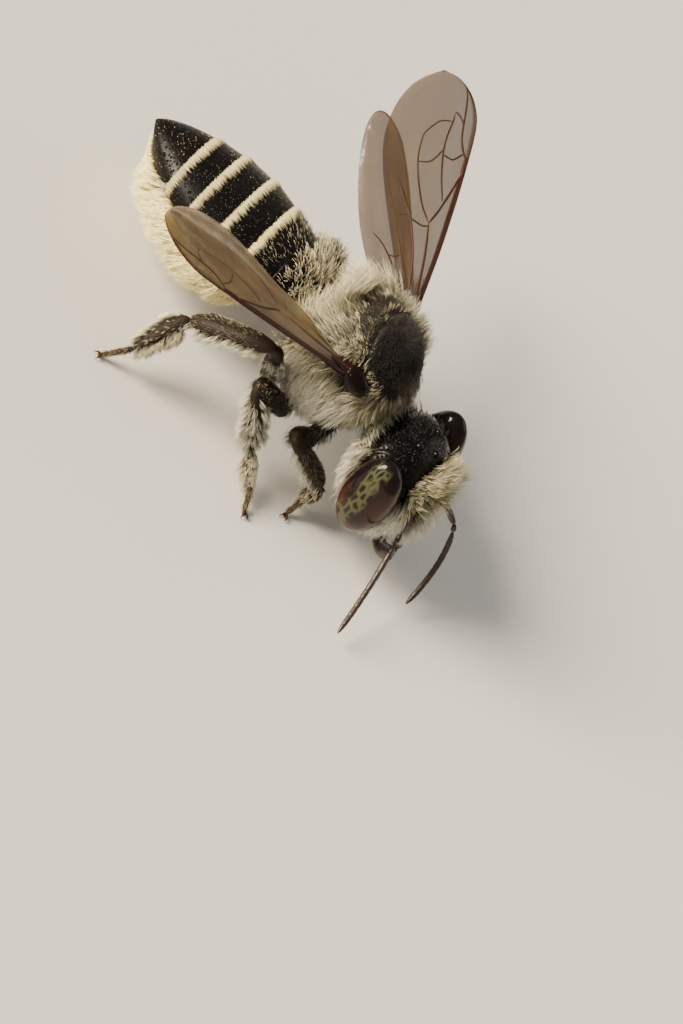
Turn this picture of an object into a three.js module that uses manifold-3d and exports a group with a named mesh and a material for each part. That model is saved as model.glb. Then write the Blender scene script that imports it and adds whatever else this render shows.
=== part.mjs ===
// A female leafcutter bee (Megachile), life size, standing on her six feet.
//
// Frame: millimetres, +Z up, the floor at Z = 0 and the origin below the middle of the whole bee.
// She faces -Y and her left side is +X. The body hangs in three nested frames (thorax, head, abdomen),
// each with +X to her left, +Y to her rear and +Z to her back. The solids reach out to the tips of the
// coat, and wings, legs and feelers are at least half a millimetre thick.
import * as THREE from 'three';
import { mergeVertices } from 'three/addons/utils/BufferGeometryUtils.js';
import Module from 'manifold-3d';

const wasm = await Module();
wasm.setup();

// ---------------------------------------------------------------------------------------------------
// Driving dimensions
// ---------------------------------------------------------------------------------------------------
const DEGREE = Math.PI / 180;
const GAP = 0.04; // thin cut between two neighbouring pieces
const MERGE = 1e-5; // vertices closer than this are one
const BEYOND = 20; // longer than anything on the bee, for the blocks that trim it

// Place of the thorax's middle, and how far the nose tips down.
const STANCE = { at: [-0.54, -0.61, 3.0], noseDown: 8 * DEGREE };

const THORAX = {
  halfWidth: 1.86, front: 1.8, rear: 1.82, top: 1.62, bottom: 1.85,
  square: 2.25, frontTaper: 0.1, rearTaper: 0.06, facets: [18, 12],
};
// The scutellum is the back plate behind the scutum, whose round rear edge cuts into it.
const SCUTELLUM = {
  from: 0.38, to: 1.26, halfWidth: 1.05, floor: 0.95, scutumRadius: 1.4, scutumCentre: -0.9, sides: 22,
};
const PROPODEUM = { from: 1.3 };
const TEGULA = { at: [1.4, -0.28, 0.78], half: [0.3, 0.45, 0.28], tilt: 35 * DEGREE, facets: [9, 6] };
const NECK = { at: [0, -1.85, -0.2], radius: 0.62, halfLength: 0.7, sides: 10 };
const WAIST = { at: [0, 1.86, -0.12], radius: 0.42, halfLength: 0.4, sides: 10 };

const HEAD = {
  at: [0, -2.83, -0.51], tipUp: 32 * DEGREE, turn: -2 * DEGREE,
  halfWidth: 1.62, top: 1.5, bottom: 1.5, front: 1.42, back: 0.95,
  square: 2.3, jawTaper: 0.24, faceSlope: 0.12, facets: [18, 12],
};
const EYE = {
  at: [1.4, -0.2, 0.0], half: [0.5, 0.66, 1.24], lean: 9 * DEGREE, splay: 4 * DEGREE, facets: [12, 9],
};
const MANDIBLE = { base: [0.78, -0.62, -1.3], tip: [0.2, -0.98, -1.95], baseRadius: 0.3, tipRadius: 0.26 };

const SCAPE = { socket: [0.42, -0.95, -0.05], radius: 0.26 };
const FLAGELLUM = { radius: 0.25, sides: 8, steps: 8 };
// Elbow, bend and tip of each antenna, in the head's frame.
const ANTENNAE = {
  right: { side: -1, elbow: [-0.68, -1.12, -0.89], bend: [-1.6, -1.4, -1.85], tip: [-2.96, -1.59, -2.55] },
  left: { side: 1, elbow: [0.65, -1.79, -0.75], bend: [0.75, -2.05, -1.8], tip: [-0.3, -1.96, -2.78] },
};

const ABDOMEN = {
  at: [0, 1.78, -0.3], droop: 24 * DEGREE, turn: 3 * DEGREE, length: 5.3, halfWidth: 1.76,
  dorsal: 1.02, ventral: 1.05, fullAt: 0.36, facets: [18, 18],
};
// The scopa is the pollen brush under the abdomen: its depth, its middle and its reach along the length.
const SCOPA = { depth: 1.2, middle: 0.62, reach: 0.42 };
// The tip of the abdomen curls up by this much, gathering towards the end.
const CURL = { rise: 0.75, power: 2.2 };
const SEGMENT_ENDS = [0.14, 0.293, 0.451, 0.61, 0.755];

const WING = { thick: 0.5, sweep: 9.5 * DEGREE, curveSteps: 5, root: [1.55, 0.02, 0.72] };
const FOREWING = { length: 6.65, width: 2.35 };
const HINDWING = { length: 5.3, width: 1.6 };
// Spread from the body's axis, lift, roll about the length, and how far the hindwing fans out.
const WINGS = {
  right: { side: -1, spread: 33.3 * DEGREE, lift: 5 * DEGREE, roll: 17.5 * DEGREE, fan: 12 * DEGREE },
  left: { side: 1, spread: 49 * DEGREE, lift: 5 * DEGREE, roll: 12 * DEGREE, fan: 26 * DEGREE },
};

// The five pieces of a leg from the body outwards, their lengths, and the half thickness at their ends.
const LEG_PIECES = ['coxa', 'femur', 'tibia', 'basitarsus', 'tarsus'];
const LEG_PAIRS = {
  front: {
    hip: [0.45, -1.15, -1.1],
    lengths: [0.77, 1.33, 1.65, 0.62, 0.4],
    girth: [0.34, 0.32, 0.28, 0.28, 0.26, 0.25],
  },
  mid: {
    hip: [0.75, -0.15, -1.1],
    lengths: [0.82, 1.75, 1.9, 0.84, 0.56],
    girth: [0.36, 0.34, 0.3, 0.29, 0.27, 0.25],
  },
  hind: {
    hip: [0.7, 0.65, -1.05],
    lengths: [0.75, 2.35, 2.3, 1.47, 0.7],
    girth: [0.38, 0.36, 0.33, 0.31, 0.27, 0.25],
  },
};
// Heading of each piece from straight sideways, forward being positive, and its rise, both in degrees.
// The last piece's rise is worked out so that the foot comes down on the floor.
const LEGS = {
  front_right: { pair: 'front', side: -1, heading: [22, -17, 114, 8, 10], rise: [-65, 27, -23, -70] },
  mid_right: { pair: 'mid', side: -1, heading: [13, -34, 99, 64, 49], rise: [-51, 31, -50, -22] },
  hind_right: { pair: 'hind', side: -1, heading: [5, -18, -88, -10, -32], rise: [-50, 51, -44, -49] },
  front_left: { pair: 'front', side: 1, heading: [22, 5, 85, 60, 45], rise: [-65, 20, -26, -60] },
  mid_left: { pair: 'mid', side: 1, heading: [13, -22, 60, 20, 25], rise: [-51, 28, -52, -28] },
  hind_left: { pair: 'hind', side: 1, heading: [30, -61, -92, -57, -50], rise: [-60, 38, -73, -14] },
};
const FOOT_HEIGHT = 0.19; // of the middle of a foot, whose underside is flat on the floor
const LIMB = { sides: 8, capSteps: 2, bellyAt: 0.45, belly: 1.06 };

// ---------------------------------------------------------------------------------------------------
// Finishes
// ---------------------------------------------------------------------------------------------------
const finish = (color, roughness) => new THREE.MeshStandardMaterial({ color, roughness, metalness: 0 });
const FINISHES = {
  paleFur: finish('#b9ad8c', 0.9),
  darkFur: finish('#2a221b', 0.7),
  shell: finish('#17120f', 0.35),
  eye: finish('#2b1a22', 0.15),
  amberWing: finish('#a06a2c', 0.4),
  smokyWing: finish('#6b5030', 0.4),
  feeler: finish('#2c231d', 0.5),
  leg: finish('#3a3126', 0.6),
  mandible: finish('#4a2b18', 0.4),
  tegula: finish('#1d0f0a', 0.2),
};

// ---------------------------------------------------------------------------------------------------
// Solids from three.js geometries
// ---------------------------------------------------------------------------------------------------
function solidFrom(geometry) {
  const plain = geometry.index ? geometry.toNonIndexed() : geometry;
  plain.deleteAttribute('normal');
  plain.deleteAttribute('uv');
  const merged = mergeVertices(plain, MERGE);
  const corners = merged.index.array;
  const triVerts = [];
  for (let i = 0; i < corners.length; i += 3) {
    const [a, b, c] = corners.subarray(i, i + 3);
    if (a !== b && b !== c && c !== a) triVerts.push(a, b, c);
  }
  return new wasm.Manifold(new wasm.Mesh({
    numProp: 3,
    vertProperties: new Float32Array(merged.attributes.position.array),
    triVerts: new Uint32Array(triVerts),
  }));
}

function geometryFrom(solid) {
  const { vertProperties, triVerts } = solid.getMesh();
  const geometry = new THREE.BufferGeometry();
  geometry.setAttribute('position', new THREE.BufferAttribute(new Float32Array(vertProperties), 3));
  geometry.setIndex(new THREE.BufferAttribute(new Uint32Array(triVerts), 1));
  geometry.computeVertexNormals();
  return geometry;
}

// A unit ball with its poles on the Y axis, each vertex moved to place(vertex).
function shapedBall([around, along], place) {
  const ball = new THREE.SphereGeometry(1, around, along);
  const { position } = ball.attributes;
  const vertex = new THREE.Vector3();
  for (let i = 0; i < position.count; i += 1) {
    vertex.fromBufferAttribute(position, i);
    position.setXYZ(i, ...place(vertex));
  }
  return solidFrom(ball);
}

// An ellipsoid, turned and then put at a point.
function ellipsoid({ half, facets }, margin, turn, at) {
  const ball = shapedBall(facets, (vertex) => [
    vertex.x * (half[0] + margin),
    vertex.y * (half[1] + margin),
    vertex.z * (half[2] + margin),
  ]);
  const frame = new THREE.Matrix4().makeRotationFromEuler(turn).setPosition(...at);
  return ball.transform(frame.elements);
}

// The same solid, larger by a margin on every side of its bounding box.
function grown(solid, margin) {
  const { min, max } = solid.boundingBox();
  const centre = min.map((low, k) => (low + max[k]) / 2);
  const scale = min.map((low, k) => 1 + (2 * margin) / (max[k] - low));
  return solid.translate(centre.map((value) => -value)).scale(scale).translate(centre);
}

// The largest of a solid's separate bodies.
function largest(solid) {
  return solid.decompose().reduce((best, body) => (body.volume() > best.volume() ? body : best));
}

function block(low, high) {
  const size = high.map((value, k) => value - low[k]);
  const box = new THREE.BoxGeometry(...size);
  box.translate(...low.map((value, k) => value + size[k] / 2));
  return solidFrom(box);
}

// A round-ended limb from one point to another, with a half thickness at each end and a slight belly.
function limb(from, to, fromRadius, toRadius, margin = 0, sides = LIMB.sides) {
  const start = new THREE.Vector3(...from);
  const axis = new THREE.Vector3(...to).sub(start);
  const length = axis.length();
  const [r0, r1] = [fromRadius + margin, toRadius + margin];
  const profile = [];
  for (let i = 0; i <= LIMB.capSteps; i += 1) {
    const angle = (i / LIMB.capSteps) * 90 * DEGREE;
    profile.push(new THREE.Vector2(r0 * Math.sin(angle), -r0 * Math.cos(angle)));
  }
  profile.push(new THREE.Vector2((LIMB.belly * (r0 + r1)) / 2, length * LIMB.bellyAt));
  for (let i = 0; i <= LIMB.capSteps; i += 1) {
    const angle = (i / LIMB.capSteps) * 90 * DEGREE;
    profile.push(new THREE.Vector2(r1 * Math.cos(angle), length + r1 * Math.sin(angle)));
  }
  profile.at(0).x = 0;
  profile.at(-1).x = 0;
  const turned = new THREE.LatheGeometry(profile, sides);
  const turn = new THREE.Quaternion().setFromUnitVectors(new THREE.Vector3(0, 1, 0), axis.normalize());
  turned.applyMatrix4(new THREE.Matrix4().makeRotationFromQuaternion(turn).setPosition(start));
  return solidFrom(turned);
}

// ---------------------------------------------------------------------------------------------------
// Scene graph
// ---------------------------------------------------------------------------------------------------
const bee = new THREE.Group();
const thoraxFrame = new THREE.Group();
thoraxFrame.position.set(...STANCE.at);
thoraxFrame.rotation.x = STANCE.noseDown;
const headFrame = new THREE.Group();
headFrame.position.set(...HEAD.at);
headFrame.rotation.set(-HEAD.tipUp, 0, HEAD.turn);
const abdomenFrame = new THREE.Group();
abdomenFrame.position.set(...ABDOMEN.at);
abdomenFrame.rotation.set(-ABDOMEN.droop, 0, ABDOMEN.turn);
thoraxFrame.add(headFrame, abdomenFrame);
bee.add(thoraxFrame);
bee.updateMatrixWorld(true);

// A solid of one frame, as another frame sees it.
function carried(solid, from, to) {
  return solid.transform(to.matrixWorld.clone().invert().multiply(from.matrixWorld).elements);
}

function add(frame, name, solid, material) {
  const mesh = new THREE.Mesh(geometryFrom(largest(solid)), material);
  mesh.name = name;
  frame.add(mesh);
}

// ---------------------------------------------------------------------------------------------------
// Body shapes
// ---------------------------------------------------------------------------------------------------
// A unit direction pushed out to a boxier section: the exponent 2 keeps the ball, more squares it.
function squared({ x, y, z }, exponent) {
  const total = Math.abs(x) ** exponent + Math.abs(y) ** exponent + Math.abs(z) ** exponent;
  const norm = total ** (1 / exponent);
  return [x / norm, y / norm, z / norm];
}

function wholeThorax() {
  const { halfWidth, front, rear, top, bottom, square, frontTaper, rearTaper, facets } = THORAX;
  return shapedBall(facets, (vertex) => {
    const [x, y, z] = squared(vertex, square);
    const taper = 1 - frontTaper * Math.max(0, -y) - rearTaper * Math.max(0, y);
    return [x * halfWidth * taper, y * (y < 0 ? front : rear), z * (z > 0 ? top : bottom)];
  });
}

function wholeHead() {
  const { halfWidth, top, bottom, front, back, square, jawTaper, faceSlope, facets } = HEAD;
  return shapedBall(facets, (vertex) => {
    const [x, y, z] = squared(vertex, square);
    const below = Math.max(0, -z);
    return [
      x * halfWidth * (1 - jawTaper * below ** 1.5),
      y * (y < 0 ? front : back) - faceSlope * below,
      z * (z > 0 ? top : bottom),
    ];
  });
}

// The abdomen's outline along its length: full at fullAt, blunt in front and drawn out behind.
function abdomenFullness(along) {
  const { fullAt } = ABDOMEN;
  if (along < fullAt) return (1 - ((fullAt - along) / fullAt) ** 3) ** 0.5;
  return (1 - ((along - fullAt) / (1 - fullAt)) ** 1.9) ** 0.75;
}

function scopaDepth(along) {
  const off = (along - SCOPA.middle) / SCOPA.reach;
  return SCOPA.depth * Math.sqrt(Math.max(0, 1 - off ** 4));
}

function wholeAbdomen() {
  const { length, halfWidth, dorsal, ventral, facets } = ABDOMEN;
  return shapedBall(facets, ({ x, y, z }) => {
    const along = 0.5 + Math.asin(THREE.MathUtils.clamp(y, -1, 1)) / Math.PI;
    const ring = Math.max(Math.hypot(x, z), MERGE);
    const full = abdomenFullness(along);
    const height = z > 0 ? dorsal * full : ventral * full + scopaDepth(along);
    return [
      (x / ring) * halfWidth * full,
      along * length,
      (z / ring) * height + CURL.rise * along ** CURL.power,
    ];
  });
}

// ---------------------------------------------------------------------------------------------------
// Thorax, neck and waist
// ---------------------------------------------------------------------------------------------------
function tegula(side, margin = 0) {
  const [x, y, z] = TEGULA.at;
  return ellipsoid(TEGULA, margin, new THREE.Euler(0, side * TEGULA.tilt, 0), [side * x, y, z]);
}

// A round-ended rod along Y.
function rod({ at: [x, y, z], radius, halfLength, sides }, margin = 0) {
  const half = halfLength - radius;
  return limb([x, y - half, z], [x, y + half, z], radius, radius, margin, sides);
}

function scutellumRegion(margin) {
  const { from, to, halfWidth, floor, scutumRadius, scutumCentre, sides } = SCUTELLUM;
  const region = block(
    [-halfWidth - margin, from - margin, floor - margin],
    [halfWidth + margin, to + margin, BEYOND],
  );
  const scutum = new THREE.CylinderGeometry(scutumRadius - margin, scutumRadius - margin, BEYOND, sides);
  scutum.rotateX(90 * DEGREE);
  scutum.translate(0, scutumCentre, 0);
  return region.subtract(solidFrom(scutum));
}

function behind(y) {
  return block([-BEYOND, y, -BEYOND], [BEYOND, BEYOND, BEYOND]);
}

// The joints of a leg from hip to foot.
function legJoints({ pair, side, heading, rise }) {
  const { hip, lengths } = LEG_PAIRS[pair];
  const joints = [new THREE.Vector3(side * hip[0], hip[1], hip[2]).applyMatrix4(thoraxFrame.matrixWorld)];
  lengths.forEach((length, i) => {
    const from = joints[i];
    const up = i < rise.length ? rise[i] * DEGREE : Math.asin((FOOT_HEIGHT - from.z) / length);
    const turn = heading[i] * DEGREE;
    const reach = length * Math.cos(up);
    joints.push(new THREE.Vector3(
      from.x + side * reach * Math.cos(turn),
      from.y - reach * Math.sin(turn),
      from.z + length * Math.sin(up),
    ));
  });
  return joints.map((joint) => joint.toArray());
}

function legPiece(leg, i, margin = 0) {
  const joints = legJoints(leg);
  const { girth } = LEG_PAIRS[leg.pair];
  return limb(joints[i], joints[i + 1], girth[i], girth[i + 1], margin);
}

const thoraxSolid = wholeThorax();
const headSolid = wholeHead();
const headCutter = grown(carried(headSolid, headFrame, thoraxFrame), GAP);
const waistCutter = rod(WAIST, GAP);
const tegulaCutter = tegula(1, GAP).add(tegula(-1, GAP));
let trunk = thoraxSolid
  .subtract(headCutter)
  .subtract(rod(NECK, GAP))
  .subtract(waistCutter)
  .subtract(tegulaCutter);
for (const leg of Object.values(LEGS)) {
  trunk = trunk.subtract(carried(legPiece(leg, 0, GAP), bee, thoraxFrame));
}
const rear = behind(PROPODEUM.from - GAP);
const mesothorax = trunk.subtract(scutellumRegion(GAP)).subtract(rear);
const scutellum = trunk.intersect(scutellumRegion(0)).subtract(rear);

add(thoraxFrame, 'thorax', mesothorax, FINISHES.paleFur);
add(thoraxFrame, 'scutellum', scutellum, FINISHES.darkFur);
add(thoraxFrame, 'propodeum', trunk.intersect(behind(PROPODEUM.from)), FINISHES.paleFur);
add(thoraxFrame, 'neck', rod(NECK).subtract(headCutter), FINISHES.shell);
add(thoraxFrame, 'waist', rod(WAIST), FINISHES.shell);
add(thoraxFrame, 'tegula_right', tegula(-1), FINISHES.tegula);
add(thoraxFrame, 'tegula_left', tegula(1), FINISHES.tegula);

// ---------------------------------------------------------------------------------------------------
// Head, eyes, mandibles and antennae
// ---------------------------------------------------------------------------------------------------
function eye(side, margin = 0) {
  const [x, y, z] = EYE.at;
  return ellipsoid(EYE, margin, new THREE.Euler(EYE.lean, side * EYE.splay, 0), [side * x, y, z]);
}

function mandible(side, margin = 0) {
  const [from, to] = [MANDIBLE.base, MANDIBLE.tip].map(([x, y, z]) => [side * x, y, z]);
  return limb(from, to, MANDIBLE.baseRadius, MANDIBLE.tipRadius, margin);
}

function scape({ side, elbow }, margin = 0) {
  const [x, y, z] = SCAPE.socket;
  return limb([side * x, y, z], elbow, SCAPE.radius, SCAPE.radius, margin);
}

function flagellum({ elbow, bend, tip }) {
  const route = new THREE.QuadraticBezierCurve3(...[elbow, bend, tip].map((at) => new THREE.Vector3(...at)));
  const ring = Array.from({ length: FLAGELLUM.sides }, (_, i) => {
    const angle = (i / FLAGELLUM.sides) * 360 * DEGREE;
    return new THREE.Vector2(Math.cos(angle), Math.sin(angle)).multiplyScalar(FLAGELLUM.radius);
  });
  const options = { steps: FLAGELLUM.steps, extrudePath: route };
  return solidFrom(new THREE.ExtrudeGeometry(new THREE.Shape(ring), options));
}

let headBody = headSolid;
for (const [label, antenna] of Object.entries(ANTENNAE)) {
  const scapeCutter = scape(antenna, GAP);
  headBody = headBody
    .subtract(eye(antenna.side, GAP))
    .subtract(scapeCutter)
    .subtract(mandible(antenna.side, GAP));
  add(headFrame, `eye_${label}`, eye(antenna.side).subtract(scapeCutter), FINISHES.eye);
  add(headFrame, `scape_${label}`, scape(antenna), FINISHES.feeler);
  add(headFrame, `flagellum_${label}`, flagellum(antenna).subtract(scapeCutter), FINISHES.feeler);
}
add(headFrame, 'mandible_right', mandible(-1).subtract(mandible(1, GAP)), FINISHES.mandible);
add(headFrame, 'mandible_left', mandible(1), FINISHES.mandible);
add(headFrame, 'head', headBody, FINISHES.darkFur);

// ---------------------------------------------------------------------------------------------------
// Abdomen, in six segments
// ---------------------------------------------------------------------------------------------------
const abdomenSolid = wholeAbdomen();
const abdomenCutter = carried(grown(thoraxSolid, GAP).add(waistCutter), thoraxFrame, abdomenFrame);
const ringLimits = [-BEYOND, ...SEGMENT_ENDS.map((along) => along * ABDOMEN.length), BEYOND];
for (let i = 0; i + 1 < ringLimits.length; i += 1) {
  const slice = block(
    [-BEYOND, ringLimits[i] + GAP / 2, -BEYOND],
    [BEYOND, ringLimits[i + 1] - GAP / 2, BEYOND],
  );
  const ring = abdomenSolid.intersect(slice).subtract(abdomenCutter);
  add(abdomenFrame, `abdomen_segment_${i + 1}`, ring, i === 0 ? FINISHES.paleFur : FINISHES.shell);
}

// ---------------------------------------------------------------------------------------------------
// Wings
// ---------------------------------------------------------------------------------------------------
// Outline of the forewing, root at the origin, length along +Y, leading edge on the -X side.
function forewingShape({ length, width }) {
  const shape = new THREE.Shape();
  shape.moveTo(-0.12, 0);
  shape.bezierCurveTo(-0.2, length * 0.3, -0.28, length * 0.62, -0.12, length * 0.84);
  shape.bezierCurveTo(0.02, length * 0.98, width * 0.34, length * 1.02, width * 0.52, length * 0.97);
  shape.bezierCurveTo(width * 0.85, length * 0.88, width * 0.98, length * 0.7, width * 0.88, length * 0.55);
  shape.bezierCurveTo(width * 0.72, length * 0.36, width * 0.3, length * 0.16, 0.32, 0);
  return shape;
}

// Outline of the hindwing, laid out as the forewing's.
function hindwingShape({ length, width }) {
  const shape = new THREE.Shape();
  shape.moveTo(-0.15, 0);
  shape.bezierCurveTo(-width * 0.2, length * 0.3, -width * 0.35, length * 0.6, -width * 0.25, length * 0.85);
  shape.bezierCurveTo(-width * 0.1, length, width * 0.15, length * 1.02, width * 0.35, length * 0.9);
  shape.bezierCurveTo(width * 0.7, length * 0.68, width * 0.8, length * 0.35, width * 0.55, length * 0.18);
  shape.bezierCurveTo(width * 0.4, length * 0.08, width * 0.3, length * 0.04, 0.2, 0);
  return shape;
}

// A wing blade, swept back by an angle and mirrored for the left side.
function blade(shape, sweep, side) {
  const options = { depth: WING.thick, bevelEnabled: false, curveSegments: WING.curveSteps };
  const plate = new THREE.ExtrudeGeometry(shape, options);
  plate.translate(0, 0, -WING.thick / 2);
  plate.rotateZ(sweep);
  return solidFrom(plate).scale([-side, 1, 1]);
}

const wingCutter = grown(thoraxSolid, GAP).add(tegulaCutter);
for (const [label, { side, spread, lift, roll, fan }] of Object.entries(WINGS)) {
  const frame = new THREE.Group();
  frame.position.set(side * WING.root[0], WING.root[1], WING.root[2]);
  frame.rotation.set(lift, -side * roll, -side * spread, 'ZXY');
  thoraxFrame.add(frame);
  frame.updateMatrixWorld(true);
  const cutter = carried(wingCutter, thoraxFrame, frame);
  const material = side > 0 ? FINISHES.smokyWing : FINISHES.amberWing;
  const fore = blade(forewingShape(FOREWING), WING.sweep, side);
  const hind = blade(hindwingShape(HINDWING), WING.sweep - fan, side);
  add(frame, `forewing_${label}`, fore.subtract(cutter), material);
  add(frame, `hindwing_${label}`, hind.subtract(cutter).subtract(grown(fore, GAP)), material);
}

// ---------------------------------------------------------------------------------------------------
// Legs
// ---------------------------------------------------------------------------------------------------
const ground = block([-BEYOND, -BEYOND, -BEYOND], [BEYOND, BEYOND, 0]);
const trunkCutter = carried(grown(thoraxSolid, GAP), thoraxFrame, bee);
for (const [label, leg] of Object.entries(LEGS)) {
  LEG_PIECES.forEach((piece, i) => {
    let solid = legPiece(leg, i);
    if (i + 1 < LEG_PIECES.length) solid = solid.subtract(legPiece(leg, i + 1, GAP));
    if (piece === 'femur') solid = solid.subtract(trunkCutter);
    add(bee, `${piece}_${label}`, solid.subtract(ground), FINISHES.leg);
  });
}

export default bee;
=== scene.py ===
import logging
from collections.abc import Callable
from dataclasses import dataclass, field, replace
from enum import Enum
from functools import cache, partial

import bpy
import numpy as np
from mathutils import Matrix


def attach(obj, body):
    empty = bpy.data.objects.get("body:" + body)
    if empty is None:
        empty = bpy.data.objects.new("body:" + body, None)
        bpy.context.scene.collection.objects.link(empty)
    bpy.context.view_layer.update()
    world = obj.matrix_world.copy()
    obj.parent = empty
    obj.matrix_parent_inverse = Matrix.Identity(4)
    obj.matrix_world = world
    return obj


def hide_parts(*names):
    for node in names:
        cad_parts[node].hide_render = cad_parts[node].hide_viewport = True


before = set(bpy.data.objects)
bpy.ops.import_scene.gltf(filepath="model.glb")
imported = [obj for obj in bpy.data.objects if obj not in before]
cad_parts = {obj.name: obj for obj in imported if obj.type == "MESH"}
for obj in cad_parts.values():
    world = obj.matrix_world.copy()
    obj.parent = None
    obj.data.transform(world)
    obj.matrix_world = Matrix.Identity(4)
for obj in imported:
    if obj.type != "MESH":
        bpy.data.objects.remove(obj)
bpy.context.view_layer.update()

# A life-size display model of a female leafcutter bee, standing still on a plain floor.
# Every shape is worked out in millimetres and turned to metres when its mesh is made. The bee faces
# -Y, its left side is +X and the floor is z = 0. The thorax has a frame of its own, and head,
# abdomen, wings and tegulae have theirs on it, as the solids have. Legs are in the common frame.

Array = np.ndarray
Socket = bpy.types.NodeSocket

MM = 0.001  # in metres
ROOT_BODY = "root"
BAKE_MAP = "OFBake"
BAKE_PATCH = 0.003  # width of one hair on its piece's unwrap
ROOT_DEPTH = 0.02  # mm that a hair starts below its skin
ROOT_LIMITS = (0.002, 0.998)  # no hair is rooted nearer to a skin's pole

logging.basicConfig(level=logging.INFO, format="%(message)s")
log = logging.getLogger("bee")


class Slot(Enum):
    """Material slots of the record."""

    PALE_COAT = "pale_coat"
    DARK_COAT = "dark_coat"
    BLACK_SHELL = "black_shell"
    EYE = "compound_eye"
    AMBER_WING = "amber_wing"
    SMOKY_WING = "smoky_wing"
    ANTENNA = "antenna"
    LEG = "leg"
    MANDIBLE = "mandible"
    TEGULA = "tegula"


class Side(Enum):
    """The bee's own right and left, with the sign of X on that side."""

    RIGHT = -1
    LEFT = 1

    @property
    def label(self) -> str:
        """The word used in names."""
        return self.name.lower()


# ------------------------------------------------------------
# Numbers
def unit(vectors: Array) -> Array:
    """Vectors scaled to length 1."""
    return vectors / np.maximum(np.linalg.norm(vectors, axis=-1, keepdims=True), 1e-9)


def dot(a: Array, b: Array) -> Array:
    """Dot product of two arrays of vectors, kept as a last axis of 1."""
    return (a * b).sum(-1, keepdims=True)


def stack(*parts: Array | float) -> Array:
    """Vectors from their parts, each one number for all or one for every place."""
    return np.stack(np.broadcast_arrays(*parts), -1)


def ease(values: Array, low: float, high: float) -> Array:
    """Smooth step: 0 at low, 1 at high, with no corner at either."""
    t = np.clip((values - low) / (high - low), 0, 1)
    return t * t * (3 - 2 * t)


def fade(values: Array, low: float, high: float) -> Array:
    """Smooth step the other way: 1 at low, 0 at high."""
    return 1 - ease(values, low, high)


def bell(values: Array, middle: float, width: float) -> Array:
    """Gaussian bump of height 1."""
    return np.exp(-(((values - middle) / width) ** 2))


def within(points: Array, centre: tuple, half: tuple) -> Array:
    """Distance from a centre in units of an ellipsoid's half sizes: 1 is on its surface."""
    return np.linalg.norm((points - np.array(centre)) / np.array(half), axis=-1)


def mottle(points: Array, size: float, seed: int) -> Array:
    """Slow random field between about -1 and 1: the mean of nine sine waves of one wavelength.

    Args:
        points: places in millimetres.
        size: wavelength in millimetres.
        seed: picks the directions and phases.

    Returns:
        one number for each point.
    """
    rng = np.random.default_rng(seed)
    waves = unit(rng.normal(size=(9, 3))) * (2 * np.pi / size)
    return np.sin(points @ waves.T + rng.uniform(0, 2 * np.pi, 9)).mean(-1) * 2.2


def turn(axis: int, degrees: float) -> Array:
    """Rotation matrix about x (0), y (1) or z (2)."""
    c, s = np.cos(np.radians(degrees)), np.sin(np.radians(degrees))
    a, b = [(1, 2), (2, 0), (0, 1)][axis]
    matrix = np.eye(3)
    matrix[a, a] = matrix[b, b] = c
    matrix[a, b], matrix[b, a] = -s, s
    return matrix


def bezier(controls: Array, t: Array) -> Array:
    """Cubic Bezier curve: the four controls weighted by the Bernstein polynomials of t."""
    t = np.asarray(t)[..., None]
    a, b, c, d = np.asarray(controls, float)
    return a * (1 - t) ** 3 + 3 * b * t * (1 - t) ** 2 + 3 * c * t**2 * (1 - t) + d * t**3


def smooth_path(knots: Array, samples: int = 160) -> Array:
    """Catmull-Rom curve through the knots, resampled to equal steps of length.

    Args:
        knots: two or more points.
        samples: number of points of the result.

    Returns:
        points along the curve, from the first knot to the last.
    """
    knots = np.asarray(knots, float)
    padded = np.vstack([2 * knots[0] - knots[1], knots, 2 * knots[-1] - knots[-2]])
    t = np.linspace(0, len(knots) - 1 - 1e-9, samples * 4)
    i = t.astype(int)
    f = (t - i)[:, None]
    a, b, c, d = padded[i], padded[i + 1], padded[i + 2], padded[i + 3]
    square, cube = 2 * a - 5 * b + 4 * c - d, 3 * b - a - 3 * c + d
    dense = 0.5 * (2 * b + (c - a) * f + square * f**2 + cube * f**3)
    steps = np.linalg.norm(np.diff(dense, axis=0), axis=1)
    run = np.concatenate([[0], np.cumsum(steps)])
    even = np.linspace(0, run[-1], samples)
    return np.stack([np.interp(even, run, dense[:, k]) for k in range(3)], -1)


@dataclass(frozen=True, eq=False)
class Place:
    """Where a part sits: its origin in millimetres and its three axes as columns."""

    origin: Array
    axes: Array

    def child(self, at: tuple | Array, turned: Array = np.eye(3)) -> "Place":
        """A place held by this one."""
        return Place(self.point(at), self.axes @ turned)

    def point(self, local: Array) -> Array:
        """Points of this place in the common frame."""
        return np.asarray(local, float) @ self.axes.T + self.origin

    def local(self, points: Array) -> Array:
        """Points of the common frame in this place."""
        return (np.asarray(points, float) - self.origin) @ self.axes


WORLD = Place(np.zeros(3), np.eye(3))
THORAX = Place(np.array([-0.54, -0.61, 3.0]), turn(0, 8))
HEAD = THORAX.child((0, -2.83, -0.51), turn(0, -32) @ turn(2, -2))
ABDOMEN = THORAX.child((0, 1.78, -0.3), turn(0, -24) @ turn(2, 3))


@dataclass(frozen=True, eq=False)
class Spots:
    """Places on a skin: points in its part's frame, with their two parameters round and along it."""

    points: Array
    around: Array
    along: Array

    @property
    def xyz(self) -> Array:
        """The coordinates: left, back and up."""
        return np.moveaxis(self.points, -1, 0)

    @property
    def x(self) -> Array:
        """How far to the left."""
        return self.points[..., 0]

    @property
    def y(self) -> Array:
        """How far back."""
        return self.points[..., 1]

    @property
    def z(self) -> Array:
        """How far up."""
        return self.points[..., 2]

    @property
    def folded(self) -> Array:
        """The points with the right side laid over the left."""
        x, y, z = self.xyz
        return stack(np.abs(x), y, z)

    @property
    def height(self) -> Array:
        """How far up its ring a place is, from -1 below to 1 above."""
        return np.sin(2 * np.pi * self.around)


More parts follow.
